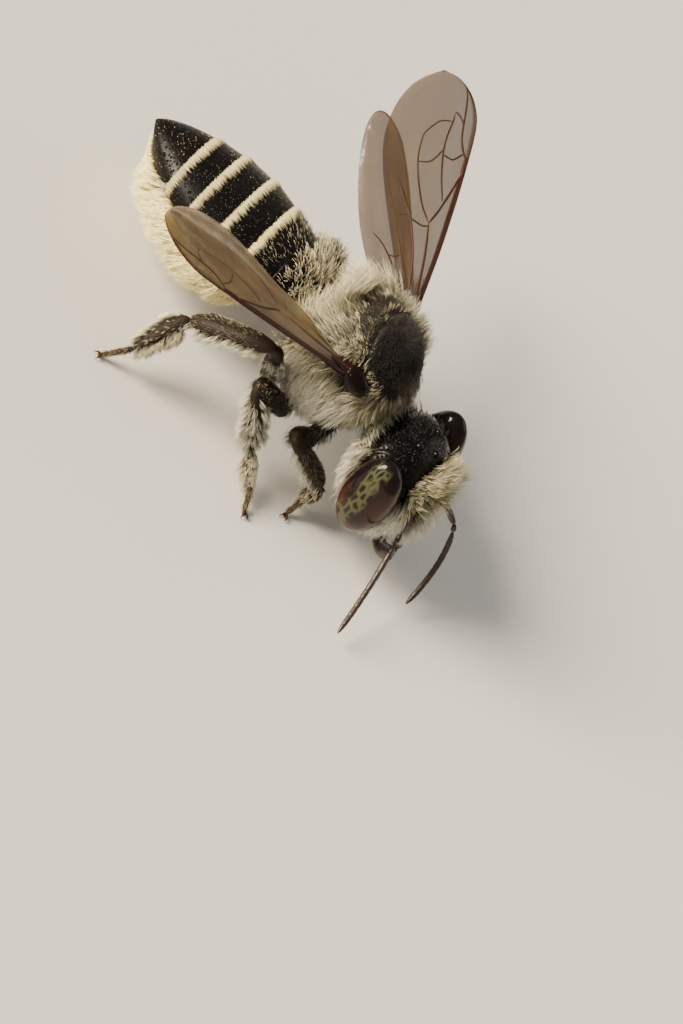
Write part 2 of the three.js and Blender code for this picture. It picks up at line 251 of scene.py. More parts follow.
# A quantity or direction that changes over a skin, or one that is the same all over it.
Field = Callable[[Spots], Array] | Array | float


def worked_out(quantity: Field, at: Spots) -> Array | float:
    """A field's values at some places."""
    return quantity(at) if callable(quantity) else quantity


def clouded(middle: float, swing: float, size: float, seed: int) -> Field:
    """A field that wanders about a middle value, in mottles of a size in millimetres."""
    return lambda at: middle + swing * mottle(at.points, size, seed)


def fanned(out: float, back: float, up: float) -> Field:
    """A direction back and up, and further out to the side the further from the middle."""
    return lambda at: stack(out * at.x, back, up)


def parted(out: float, back: float, up: float) -> Field:
    """A direction back, up and out to both sides from a parting in the middle."""
    return lambda at: stack(out * np.tanh(at.x * 4), back, up)


# ------------------------------------------------------------
# Meshes
@dataclass
class Shell:
    """A mesh before Blender has it: points in millimetres, arrays of faces, marks, unwrap."""

    points: Array
    faces: list[Array]
    marks: dict[str, Array] = field(default_factory=dict)
    flat: Array | None = None

    @property
    def triangles(self) -> int:
        """Number of triangles."""
        return sum(len(f) * (f.shape[1] - 2) for f in self.faces)

    def marked(self, **values: float) -> "Shell":
        """The same mesh with marks that are the same at every point."""
        marks = {key: np.full(len(self.points), value) for key, value in values.items()}
        return replace(self, marks={**self.marks, **marks})

    def outward(self) -> "Shell":
        """The same closed mesh, with its faces turned round if they point inwards."""
        fans = [f[:, [0, k, k + 1]] for f in self.faces for k in range(1, f.shape[1] - 1)]
        a, b, c = np.moveaxis(self.points[np.concatenate(fans)], 1, 0)
        if (a * np.cross(b, c)).sum() >= 0:
            return self
        return replace(self, faces=[f[:, ::-1] for f in self.faces])


def joined(shells: list[Shell]) -> Shell:
    """One mesh of several that carry the same marks."""
    starts = np.cumsum([0] + [len(s.points) for s in shells[:-1]])
    faces = [f + start for s, start in zip(shells, starts) for f in s.faces]
    marks = {key: np.concatenate([s.marks[key] for s in shells]) for key in shells[0].marks}
    flat = None if shells[0].flat is None else np.concatenate([s.flat for s in shells])
    return Shell(np.concatenate([s.points for s in shells]), faces, marks, flat)


def tube(rings: Array, first: Array, last: Array) -> Shell:
    """Closed surface over rings of points, with a fan of triangles to a point at each end.

    Args:
        rings: rows of points, one row for each station along the shape.
        first: the point that closes the first ring.
        last: the point that closes the last ring.

    Returns:
        the closed mesh, whose faces point along x around.
    """
    rows, columns = rings.shape[:2]
    index = 1 + np.arange(rows * columns).reshape(rows, columns)
    beside = np.roll(index, -1, axis=1)
    quads = np.stack([index[:-1], index[1:], beside[1:], beside[:-1]], -1).reshape(-1, 4)
    front = stack(0, index[0], beside[0])
    rear = stack(index[-1], rows * columns + 1, beside[-1])
    return Shell(np.vstack([first, rings.reshape(-1, 3), last]), [quads, front, rear])


def made(name: str, shell: Shell, finish: "Finish") -> bpy.types.Object:
    """A new object of a mesh: its points, faces, marks, unwrap and material."""
    mesh = bpy.data.meshes.new(name)
    corners = np.concatenate([f.ravel() for f in shell.faces]).astype(np.int32)
    sizes = np.concatenate([np.full(len(f), f.shape[1]) for f in shell.faces])
    mesh.vertices.add(len(shell.points))
    mesh.vertices.foreach_set("co", (shell.points * MM).astype(np.float32).ravel())
    mesh.loops.add(len(corners))
    mesh.loops.foreach_set("vertex_index", corners)
    mesh.polygons.add(len(sizes))
    mesh.polygons.foreach_set("loop_start", (np.cumsum(sizes) - sizes).astype(np.int32))
    mesh.polygons.foreach_set("use_smooth", np.ones(len(sizes), bool))
    for key, values in shell.marks.items():
        kind, value = ("FLOAT_COLOR", "color") if values.ndim > 1 else ("FLOAT", "value")
        mark = mesh.attributes.new(key, kind, "POINT")
        mark.data.foreach_set(value, values.astype(np.float32).ravel())
    if shell.flat is not None:
        chart = mesh.uv_layers.new(name=BAKE_MAP)
        chart.uv.foreach_set("vector", shell.flat[corners].astype(np.float32).ravel())
    mesh.update(calc_edges=True)
    mesh.validate()
    mesh.materials.append(material_of(finish))
    return linked(bpy.data.objects.new(name, mesh))


def linked(thing: bpy.types.Object) -> bpy.types.Object:
    """The same object, now in the scene."""
    bpy.context.scene.collection.objects.link(thing)
    return thing


def put(name: str, shell: Shell, finish: "Finish", slot: Slot, nodes: list[str]) -> None:
    """Makes a piece of the model, hangs it on the root body and hides the solids that it stands for.

    Args:
        name: name of the piece.
        shell: the mesh.
        finish: what it is made of.
        slot: the record's material slot; not used.
        nodes: the solids that it stands for.
    """
    piece = made(name, shell, finish)
    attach(piece, ROOT_BODY)
    if nodes:
        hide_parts(*nodes)
    log.info("%s: %d triangles", name, shell.triangles)


# ------------------------------------------------------------
# Skins: closed surfaces of two parameters, round and along a part, each between 0 and 1
@dataclass(frozen=True, kw_only=True, eq=False)
class Skin:
    """A closed surface in a place, with its poles at along = 0 and along = 1."""

    place: Place
    columns: int = 96
    rows: int = 64

    def at(self, around: Array, along: Array) -> Array:
        """Points of the surface in the part's frame."""
        raise NotImplementedError

    def spots(self, around: Array, along: Array) -> Spots:
        """The same points with their parameters."""
        return Spots(self.at(around, along), around, along)

    def stations(self) -> Array:
        """Values of along for the rings of the mesh, closer together towards the poles."""
        return (1 - np.cos(np.pi * np.arange(1, self.rows) / self.rows)) / 2

    def steps(self, around: Array, along: Array) -> tuple[Array, Array]:
        """Millimetres that the surface goes for one unit of each parameter, by central differences."""
        e = 1e-3
        low, high = np.clip(along - e, 0, 1), np.clip(along + e, 0, 1)
        across = (self.at(around + e, along) - self.at(around - e, along)) / (2 * e)
        onward = (self.at(around, high) - self.at(around, low)) / (high - low)[..., None]
        return across, onward

    def normal(self, around: Array, along: Array) -> Array:
        """Outward unit normals: along x around."""
        across, onward = self.steps(around, along)
        return unit(np.cross(onward, across))

    def shell(self, **marks: Field) -> Shell:
        """The skin's mesh in the common frame, with marks worked out at its points."""
        u, v = np.meshgrid(np.arange(self.columns) / self.columns, self.stations())
        at = self.spots(np.r_[0.0, u.ravel(), 0.0], np.r_[0.0, v.ravel(), 1.0])
        rings = at.points[1:-1].reshape(-1, self.columns, 3)
        mesh = tube(rings, at.points[:1], at.points[-1:])
        values = {key: mark(at) for key, mark in marks.items()}
        return Shell(self.place.point(mesh.points), mesh.faces, values).outward()

    def scatter(self, count: int, cover: Field, rng: np.random.Generator) -> tuple[Array, Array]:
        """Seeded random roots, as thick on the surface as the cover says.

        Args:
            count: number of roots.
            cover: how thick the coat is at a place, from 0 for none.
            rng: the random numbers.

        Returns:
            the roots' places round and along the skin.
        """
        columns, rows = 200, 140
        u, v = np.meshgrid((np.arange(columns) + 0.5) / columns, (np.arange(rows) + 0.5) / rows)
        u, v = u.ravel(), v.ravel()
        area = np.linalg.norm(np.cross(*self.steps(u, v)[::-1]), axis=-1)
        weight = area * np.clip(worked_out(cover, self.spots(u, v)), 0, None)
        cell = rng.choice(len(u), count, p=weight / weight.sum())
        around = u[cell] + rng.uniform(-0.5, 0.5, count) / columns
        along = v[cell] + rng.uniform(-0.5, 0.5, count) / rows
        return around, np.clip(along, *ROOT_LIMITS)


@dataclass(frozen=True, kw_only=True, eq=False)
class Ball(Skin):
    """A boxy ball with poles on Y: unit directions pushed out to an exponent, times its half sizes."""

    width: float
    top: float
    bottom: float
    front: float
    rear: float
    square: float = 2.0

    @classmethod
    def even(cls, place: Place, half: tuple, columns: int, rows: int, **more: float) -> "Ball":
        """A ball with the same half width, depth and height to both sides, unless more is said."""
        width, depth, height = half
        sizes = {"width": width, "top": height, "bottom": height, "front": depth, "rear": depth}
        return cls(place=place, columns=columns, rows=rows, **{**sizes, **more})

    def at(self, around: Array, along: Array) -> Array:
        """Direction from two angles, squared, sized, tapered, then moved out by the relief."""
        theta, phi = 2 * np.pi * around, np.pi * along
        way = stack(np.cos(theta) * np.sin(phi), -np.cos(phi), np.sin(theta) * np.sin(phi))
        norm = (np.abs(way) ** self.square).sum(-1, keepdims=True) ** (1 / self.square)
        plain = self.shaped(way / norm)
        size = np.linalg.norm(plain, axis=-1, keepdims=True)
        return plain * (1 + self.relief(*np.moveaxis(plain, -1, 0))[..., None] / size)

    def stations(self) -> Array:
        """Even steps of the polar angle."""
        return np.arange(1, self.rows) / self.rows

    def shaped(self, way: Array) -> Array:
        """Directions scaled to the half sizes."""
        x, y, z = np.moveaxis(way, -1, 0)
        y = y * np.where(y < 0, self.front, self.rear)
        return stack(x * self.width, y, z * np.where(z > 0, self.top, self.bottom))

    def relief(self, x: Array, y: Array, z: Array) -> Array:
        """How far the surface is moved out, in millimetres."""
        return 0 * x


@dataclass(frozen=True, kw_only=True, eq=False)
class Rod(Skin):
    """A round-ended rod along a smooth path, with a radius that changes along it.

    `flat` is its thickness across `up` as a share of its width, `joints` makes ring-shaped waists
    at even distances, and `blunt` is how square its ends are.
    """

    knots: tuple | Array
    radii: tuple
    up: tuple = (0.0, 0.0, 1.0)
    flat: float = 1.0
    joints: int = 0
    blunt: float = 8.0
    columns: int = 20
    rows: int = 26

    def at(self, around: Array, along: Array) -> Array:
        """Path point, plus the radius turned round its tangent; a squared-off cap at each end."""
        path = smooth_path(np.array(self.knots, float))
        run = np.linspace(0, 1, len(path))
        slope = np.gradient(path, axis=0)
        spine = np.stack([np.interp(along, run, path[:, k]) for k in range(3)], -1)
        tangent = unit(np.stack([np.interp(along, run, slope[:, k]) for k in range(3)], -1))
        side = unit(np.cross(tangent, np.array(self.up)))
        rise = np.cross(side, tangent)
        radius = np.interp(along, *np.array(self.radii, float).T)
        radius = radius * np.sqrt(np.clip(1 - np.abs(2 * along - 1) ** self.blunt, 0, 1))
        if self.joints:
            beat = np.abs((along * self.joints) % 1 - 0.5) * 2
            radius = radius * (1 - 0.13 * ease(beat, 0.72, 1.0))
        theta = (2 * np.pi * around)[..., None]
        return spine + radius[..., None] * (np.cos(theta) * side + self.flat * np.sin(theta) * rise)

    @property
    def heading(self) -> Array:
        """Unit vector from the first knot to the last."""
        return unit(np.array(self.knots[-1], float) - np.array(self.knots[0], float))

    @property
    def upright(self) -> Array:
        """Unit vector square to the heading and as near to straight up as that allows."""
        return unit(np.array([0.0, 0.0, 1.0]) - self.heading * self.heading[2])


# ------------------------------------------------------------
# Finishes
def linear(code: str) -> tuple[float, float, float, float]:
    """An sRGB hex colour as linear red, green, blue and 1."""
    parts = [int(code[i : i + 2], 16) / 255 for i in (1, 3, 5)]
    return (*[c / 12.92 if c <= 0.04045 else ((c + 0.055) / 1.055) ** 2.4 for c in parts], 1.0)


def per_mm(size: float) -> float:
    """Texture scale whose cells are this many millimetres across."""
    return 1 / (size * MM)


class Nodes:
    """A material's nodes, with short ways to add those that several finishes use."""

    def __init__(self, tree: bpy.types.NodeTree) -> None:
        """Starts with the object's own coordinates."""
        self.tree = tree
        self.place = self.add("TexCoord").outputs["Object"]

    def add(self, kind: str, inputs: dict | None = None, **settings: object) -> bpy.types.Node:
        """Adds a node, with its settings, and its inputs linked to sockets or set to values.

        Args:
            kind: the shader node's type.
            inputs: input name or number, and the socket or value for it.
            settings: the node's own properties.

        Returns:
            the node.
        """
        node = self.tree.nodes.new("ShaderNode" + kind)
        for key, value in settings.items():
            setattr(node, key, value)
        for key, value in (inputs or {}).items():
            if isinstance(value, Socket):
                self.tree.links.new(value, node.inputs[key])
            else:
                node.inputs[key].default_value = value
        return node

    def mark(self, name: str, output: str = "Fac") -> Socket:
        """A mark that the mesh carries."""
        return self.add("Attribute", attribute_name=name).outputs[output]

    def noise(self, size: float, detail: float) -> Socket:
        """Cloudy noise of a size in millimetres."""
        inputs = {"Vector": self.place, "Scale": per_mm(size), "Detail": detail}
        return self.add("TexNoise", inputs).outputs["Fac"]

    def dots(self, size: float) -> Socket:
        """Distance from the nearest of scattered dots, which are this many millimetres apart."""
        return self.add("TexVoronoi", {"Vector": self.place, "Scale": per_mm(size)}).outputs["Distance"]

    def blend(self, share: Socket, low: Socket | str, high: Socket | str) -> Socket:
        """A colour between two, each from a socket or an sRGB hex code."""
        low, high = (linear(end) if isinstance(end, str) else end for end in (low, high))
        return self.add("Mix", {0: share, 6: low, 7: high}, data_type="RGBA").outputs[2]

    def ranged(self, value: Socket, *ends: float, **settings: str) -> Socket:
        """A value taken from one range to another: low and high, then new low and high."""
        return self.add("MapRange", {"Value": value, **dict(enumerate(ends, 1))}, **settings).outputs[0]

    def vector(self, operation: str, first: Socket, second: Socket | tuple) -> Socket:
        """Two vectors added or multiplied."""
        return self.add("VectorMath", {0: first, 1: second}, operation=operation).outputs[0]

    def bump(self, height: Socket, depth: float, strength: float = 1.0, **under: Socket) -> Socket:
        """Normals of a surface that is uneven by some millimetres, over another bump or none."""
        inputs = {"Height": height, "Distance": depth * MM, "Strength": strength, **under}
        return self.add("Bump", inputs).outputs[0]


@dataclass(frozen=True)
class Finish:
    """What a piece is made of. A finish builds its own material once."""

    name: str

    def build(self, nodes: Nodes) -> dict:
        """Adds the finish's nodes and returns what goes into its shader."""
        raise NotImplementedError


@cache
def material_of(finish: Finish) -> bpy.types.Material:
    """The one material of a finish."""
    material = bpy.data.materials.new(finish.name)
    material.use_nodes = True
    material.node_tree.nodes.clear()
    nodes = Nodes(material.node_tree)
    shader = nodes.add("BsdfPrincipled", finish.build(nodes))
    nodes.add("OutputMaterial", {"Surface": shader.outputs[0]})
    return material


@dataclass(frozen=True)
class Chitin(Finish):
    """Insect cuticle: hard, dark and glossy, with pits that break its shine into small glints.

    The mark `blush` brings in a third colour where the cuticle is thin and lets light through.
    """

    deep: str
    worn: str
    blush: str
    roughness: float
    depth: float  # mm
    pit: float = 0.075  # mm between pits; real ones are half as far apart and would not show
    coat: float = 0.0
    ior: float = 1.45

    def build(self, nodes: Nodes) -> dict:
        """Noise mixes two browns, a mark adds the blush, and rounded pits and fine grain are bumps."""
        cloud = nodes.noise(0.45, 5.0)
        body = nodes.blend(cloud, self.deep, self.worn)
        grain = nodes.bump(nodes.noise(0.03, 2.0), 0.003, 0.5)
        pits = nodes.ranged(nodes.dots(self.pit), 0.05, 0.42, 0.0, 1.0)
        return {
            "Base Color": nodes.blend(nodes.mark("blush"), body, self.blush),
            "Roughness": nodes.ranged(cloud, 0.3, 0.7, self.roughness * 0.8, self.roughness * 1.25),
            "Normal": nodes.bump(pits, self.depth, Normal=grain), "IOR": self.ior,
            "Coat Weight": self.coat, "Coat Roughness": 0.16, "Coat IOR": 1.4,
        }


@dataclass(frozen=True)
class EyeGlaze(Finish):
    """Compound eye: thousands of clear lenses over dark pigment, smooth as glass from a distance.

    The mark `net` shows an olive net over the pigment, and `rust` a red-brown pigment. The mark
    `spot` is the place on the eye in its own frame, in mm, so that both eyes carry the same net.
    """

    pigment: str = "#0b0709"
    rust: str = "#3a1c0a"
    olive: str = "#43462b"
    cell: float = 0.165  # mm between the dark spots of the net
    draw: float = 2.1  # times by which the cells are drawn out along the eye

    def build(self, nodes: Nodes) -> dict:
        """Distance to the edge of a cell pattern draws the net; a hexagon-like grain is the lenses."""
        spot = nodes.mark("spot", "Vector")
        bend = nodes.add("TexNoise", {"Vector": spot, "Scale": 2.0, "Detail": 2.0}).outputs["Color"]
        moved = nodes.vector("ADD", spot, nodes.vector("MULTIPLY", bend, (0.16,) * 3))
        drawn_out = nodes.vector("MULTIPLY", moved, (1.0, 1.0, 1 / self.draw))
        inputs = {"Vector": drawn_out, "Scale": 1 / self.cell, "Randomness": 0.75}
        edge = nodes.add("TexVoronoi", inputs, feature="DISTANCE_TO_EDGE").outputs["Distance"]
        line = nodes.ranged(edge, 0.0, 0.3, 1.0, 0.0, interpolation_type="SMOOTHSTEP")
        net = nodes.add("Math", {0: line, 1: nodes.mark("net")}, operation="MULTIPLY").outputs[0]
        ground = nodes.blend(nodes.mark("rust"), self.pigment, self.rust)
        return {
            "Base Color": nodes.blend(net, ground, self.olive), "Roughness": 0.5, "IOR": 1.12,
            "Normal": nodes.bump(nodes.dots(0.035), 0.0006, 0.35),
            "Coat Weight": 1.0, "Coat Roughness": 0.04, "Coat IOR": 1.26,
        }


@dataclass(frozen=True)
class WingFilm(Finish):
    """Wing membrane: a clear brown film, stiff and wrinkled, with a gleam where light glances.

    The mark `blush` is the darker, redder root.
    """

    film: str
    streak: str
    root: str
    alpha: float
    gleam: float  # nm of film, which sets the colours of its gleam

    def build(self, nodes: Nodes) -> dict:
        """Noise clouds the film and folds it; tiny hair bases are dimples."""
        cloud, root = nodes.noise(0.9, 6.0), nodes.mark("blush")
        dimples = nodes.bump(nodes.dots(0.1), 0.008, 0.6)
        return {
            "Base Color": nodes.blend(root, nodes.blend(cloud, self.film, self.streak), self.root),
            "Alpha": nodes.ranged(root, 0.0, 0.6, self.alpha, 1.0), "Roughness": 0.3, "IOR": 1.5,
            "Normal": nodes.bump(cloud, 0.06, Normal=dimples),
            "Thin Film Thickness": self.gleam, "Thin Film IOR": 1.56,
        }


@dataclass(frozen=True)
class Hair(Finish):
    """Bee hair: fine translucent bristles with a silky shine, each coloured from root to tip."""

    roughness: float = 0.5

    def build(self, nodes: Nodes) -> dict:
        """The hair's own colour, slightly clouded from place to place."""
        shade = nodes.ranged(nodes.noise(0.4, 3.0), 0.3, 0.7, 0.86, 1.12)
        return {
            "Base Color": nodes.vector("MULTIPLY", nodes.mark("tint", "Color"), shade),
            "Roughness": self.roughness, "IOR": 1.55, "Specular IOR Level": 0.35,
            "Sheen Weight": 0.15, "Sheen Roughness": 0.4,
        }


@dataclass(frozen=True)
class Paper(Finish):
    """Matt backdrop paper: a plain, pale, slightly uneven floor."""

    shade: str = "#e4e0d6"
    light: str = "#ece8df"

    def build(self, nodes: Nodes) -> dict:
        """Two close tones in slow noise."""
        colour = nodes.blend(nodes.noise(30, 2.0), self.shade, self.light)
        return {"Base Color": colour, "Roughness": 0.9, "Specular IOR Level": 0.2}


PLATE_CUTICLE = Chitin(
    "black pitted chitin", "#060504", "#0d0b09", "#a89c6c", roughness=0.34, depth=0.02, ior=1.22
)
HEAD_CUTICLE = Chitin(
    "black head chitin", "#050404", "#0b0908", "#6e6340", roughness=0.2, depth=0.024, ior=1.22
)
THORAX_CUTICLE = Chitin(
    "black back chitin", "#060504", "#0d0b09", "#7a7050", roughness=0.4, depth=0.012, ior=1.36
)
LEG_CUTICLE = Chitin(
    "brown leg chitin", "#120c08", "#2a1e13", "#4a3018",
    roughness=0.58, pit=0.05, depth=0.008, ior=1.26,
)
FEELER_CUTICLE = Chitin(
    "brown antenna chitin", "#1b120d", "#3a281b", "#48261a",
    roughness=0.42, pit=0.04, depth=0.005, coat=0.35,
)
JAW_CUTICLE = Chitin(
    "red-brown jaw chitin", "#1c0e07", "#3c210f", "#5e3414", roughness=0.24, depth=0.004, coat=0.35
)
CAP_CUTICLE = Chitin(
    "glossy tegula chitin", "#080403", "#120906", "#321309",
    roughness=0.24, pit=0.06, depth=0.006, ior=1.25,
)
VEIN_CUTICLE = Chitin(
    "wing vein chitin", "#1d0f07", "#351c0c", "#3c180c", roughness=0.4, pit=0.05, depth=0.003, ior=1.3
)
AMBER_FILM = WingFilm("amber wing membrane", "#43331a", "#7c6438", "#2e1008", 0.82, 0.0)
SMOKY_FILM = WingFilm("smoky wing membrane", "#3a2a16", "#5d4727", "#2e150a", 0.62, 380.0)
EYE_GLAZE = EyeGlaze("compound eye")
BEE_HAIR = Hair("bee hair")
DARK_HAIR = Hair("dark bee hair", roughness=0.42)
FLOOR_PAPER = Paper("pale paper")


# ------------------------------------------------------------
# Hair
@dataclass(frozen=True)
class Tone:
    """Colour of a kind of hair at its root and at its tip, and how much hairs differ in brightness. The
    dark roots are partly the hair's own colour and partly painted shade, the shade that falls deep in a
    coat.
    """

    root: str
    tip: str
    vary: float = 0.16

    def ends(self) -> Array:
        """Root and tip colour, linear."""
        return np.array([linear(self.root)[:3], linear(self.tip)[:3]])


# Most roots below are far darker than their tips: partly the hairs' own colour, partly painted shade
# deep in the coat.
CREAM = Tone("#4c432c", "#ece1bc")
WHITE = Tone("#9a9072", "#f9f4df")
GOLD = Tone("#332a12", "#f3e8bc")
GREY = Tone("#1a160e", "#8d8262")
DUN = Tone("#241e12", "#bbb088")
SOOT = Tone("#080706", "#241c12", 0.3)
# The brush's pale yellow is partly its own colour and partly painted warm yellow light.
BRUSH = Tone("#e8cf78", "#fff2b4", 0.08)
BAND = Tone("#6f653d", "#cfc490", 0.12)
TAWNY = Tone("#5a4a24", "#d2bb6c")


def hairs(path: Array, across: Array, width: Array, tint: Array, flat: Array, rings: int) -> Shell:
    """Three-sided tapering hairs along quadratic Bezier curves, closed at root and tip.

    Args:
        path: root, middle control and tip of each hair, as (hairs, 3, 3).
        across: a sideways unit vector for each hair.
        width: each hair's width at its root.
        tint: root and tip colour of each hair, as (hairs, 2, 3).
        flat: each root's place on the skin's unwrap.
        rings: rings of points between root and tip.

    Returns:
        one mesh of all of them.
    """
    t = (np.arange(rings) / rings * 1.05)[None, :, None]
    root, middle, tip = (path[:, None, k] for k in range(3))
    spine = root * (1 - t) ** 2 + 2 * middle * t * (1 - t) + tip * t**2
    tangent = unit(2 * (middle - root) * (1 - t) + 2 * (tip - middle) * t)
    side = unit(across[:, None] - tangent * dot(across[:, None], tangent))
    rise = np.cross(side, tangent)
    radius = (width[:, None, None] / 2) * (1 - 0.55 * t**1.5)
    angle = np.radians([90, 210, 330])
    turned = np.cos(angle)[:, None] * side[:, :, None] + np.sin(angle)[:, None] * rise[:, :, None]
    count, each, last = len(path), rings * 3 + 1, (rings - 1) * 3
    ring = (spine[:, :, None] + radius[..., None] * turned).reshape(count, rings * 3, 3)
    base = (np.arange(count) * each)[:, None, None]
    k = np.arange(3)
    after = (k + 1) % 3
    ladder = np.arange(rings - 1)[:, None] * 3
    sides = stack(ladder + k, ladder + 3 + k, ladder + 3 + after, ladder + after).reshape(-1, 4)
    ends = np.vstack([stack(last + k, each - 1, last + after), [[0, 1, 2]]])
    # Each hair darkens towards its root: partly its own colour, partly painted shade deep in the coat.
    share = np.concatenate([np.repeat(t[0, :, 0], 3), [1.0]])[None, :, None]
    colour = tint[:, :1] + (tint[:, 1:] - tint[:, :1]) * share
    colour = np.concatenate([colour, np.ones((count, each, 1))], -1)
    corner = stack(np.cos(angle), np.sin(angle))
    spot = np.concatenate([np.tile(corner, (rings, 1)), [[0.0, 0.0]]])
    return Shell(
        np.concatenate([ring, tip], 1).reshape(-1, 3),
        [(base + sides).reshape(-1, 4), (base + ends).reshape(-1, 3)],
        {"tint": colour.reshape(-1, 4)},
        (flat[:, None] + spot[None] * BAKE_PATCH / 2).reshape(-1, 2),
    )


@dataclass(frozen=True, kw_only=True, eq=False)
class Patch:
    """A patch of hair on a skin, with sizes in millimetres and angles in degrees.

    `cover` is where it grows, `lie` which way it lies, `reach` multiplies the length from place to
    place, and `mix` goes from the first tone (0) to the second (1). Roots are spread about the
    middle of a lock, and the tips of a lock are gathered towards each other. Hairs leave the skin
    at the first lift angle and end at the second. `tile` is the corner and size of the patch's
    place on the piece's unwrap.
    """

    skin: Skin
    lie: Field
    tone: Tone
    count: int
    length: tuple[float, float]
    width: float
    seed: int
    lift: tuple[float, float] = (35.0, 18.0)
    cover: Field = 1.0
    reach: Field = 1.0
    other: Tone | None = None
    mix: Field = 1.0
    lock: int = 5
    spread: float = 0.05
    gather: float = 0.45
    stray: float = 12.0
    rings: int = 3
    tile: tuple[float, float, float] = (0.0, 0.0, 1.0)

    def grow(self) -> Shell:
        """Scatters locks, spreads each lock's roots, lays hairs along the skin, gathers their tips."""
        skin, lock, stray = self.skin, self.lock, self.stray
        rng = np.random.default_rng(self.seed)
        locks = max(1, self.count // lock)
        around, along = skin.scatter(locks, self.cover, rng)
        count = locks * lock
        run = stack(*(np.linalg.norm(step, axis=-1) for step in skin.steps(around, along)))
        loose = rng.normal(0, self.spread, (locks, lock, 2)) / np.maximum(run, 0.3)[:, None]
        around = (around[:, None] + loose[..., 0]).ravel()
        along = np.clip((along[:, None] + loose[..., 1]).ravel(), *ROOT_LIMITS)
        at, normal = skin.spots(around, along), skin.normal(around, along)
        flow = worked_out(self.lie, at)
        flow = unit(flow - normal * dot(flow, normal) + 1e-6)
        aside = np.cross(normal, flow)
        swing = np.repeat(rng.normal(0, stray, locks), lock) + rng.normal(0, stray / 2, count)
        swing = np.radians(swing)[:, None]
        flow = flow * np.cos(swing) + aside * np.sin(swing)
        size = np.repeat(rng.uniform(*self.length, locks), lock) * rng.uniform(0.82, 1.1, count)
        size = (size * worked_out(self.reach, at))[:, None]
        tilt = np.repeat(rng.normal(0, stray / 2, locks), lock)
        low, high = (np.radians(np.clip(angle + tilt, 1, 88))[:, None] for angle in self.lift)
        middle = at.points + (flow * np.cos(low) + normal * np.sin(low)) * size / 2
        tip = middle + (flow * np.cos(high) + normal * np.sin(high)) * size / 2
        shared = np.repeat(tip.reshape(locks, lock, 3).mean(1), lock, 0)
        tip = tip + (shared - tip) * self.gather
        path = skin.place.point(np.stack([at.points - normal * ROOT_DEPTH, middle, tip], 1))
        corner_u, corner_v, scale = self.tile
        flat = stack(corner_u + (around % 1) * scale, corner_v + along * scale)
        width = self.width * rng.uniform(0.75, 1.2, count)
        across = np.cross(flow, normal) @ skin.place.axes.T
        return hairs(path, across, width, self.colours(at, locks, rng), flat, self.rings)

    def colours(self, at: Spots, locks: int, rng: np.random.Generator) -> Array:
        """Root and tip colour of each hair: the tones mixed, then brightened or darkened at random."""
        count = len(at.points)
        ends = np.broadcast_to(self.tone.ends(), (count, 2, 3))
        if self.other is not None:
            share = np.clip(worked_out(self.mix, at) + rng.normal(0, 0.12, count), 0, 1)
            ends = ends + (self.other.ends() - ends) * share[:, None, None]
        bright = np.repeat(rng.normal(0, self.tone.vary, locks), self.lock)
        bright = bright + rng.normal(0, self.tone.vary / 2, count)
        return np.clip(ends * (1 + bright)[:, None, None], 0.002, 0.98)


def coat(name: str, slot: Slot, patches: list[Patch], finish: Finish = BEE_HAIR) -> None:
    """Makes one coat piece of several patches."""
    put(name, joined([patch.grow() for patch in patches]), finish, slot, [])


# ------------------------------------------------------------
# Thorax
CAP_AT = (1.4, -0.28, 0.78)
CAP_HALF = (0.34, 0.48, 0.34)


@dataclass(frozen=True, kw_only=True, eq=False)
class ThoraxSkin(Ball):
    """The thorax under its fur: a boxy ball with a domed scutum, a groove, and a scutellum."""

    place: Place = THORAX
    width: float = 1.5
    top: float = 1.5
    bottom: float = 1.5
    front: float = 1.45
    rear: float = 1.35
    square: float = 2.25
    columns: int = 150
    rows: int = 110

    def shaped(self, way: Array) -> Array:
        """The ball narrows by a tenth to the front and less to the rear."""
        y = way[..., 1]
        taper = 1 - 0.1 * np.clip(-y, 0, 1) - 0.06 * np.clip(y, 0, 1)
        return super().shaped(way) * stack(taper, 1, 1)

    def relief(self, x: Array, y: Array, z: Array) -> Array:
        """An arc-shaped groove round the scutum, a swelling for the scutellum, three fine seams."""
        out = -0.08 * bell(np.hypot(x, y + 0.9), 1.42, 0.07)
        out = out + 0.07 * bell(y, 0.85, 0.26) * bell(x, 0, 0.85)
        out = out - 0.014 * bell(np.abs(x), 0.5, 0.03) * bell(y, -0.35, 0.5)
        out = out - 0.012 * bell(x, 0, 0.03) * ease(-y, 0.3, 0.6)
        return out * ease(z, 0.5, 0.9)


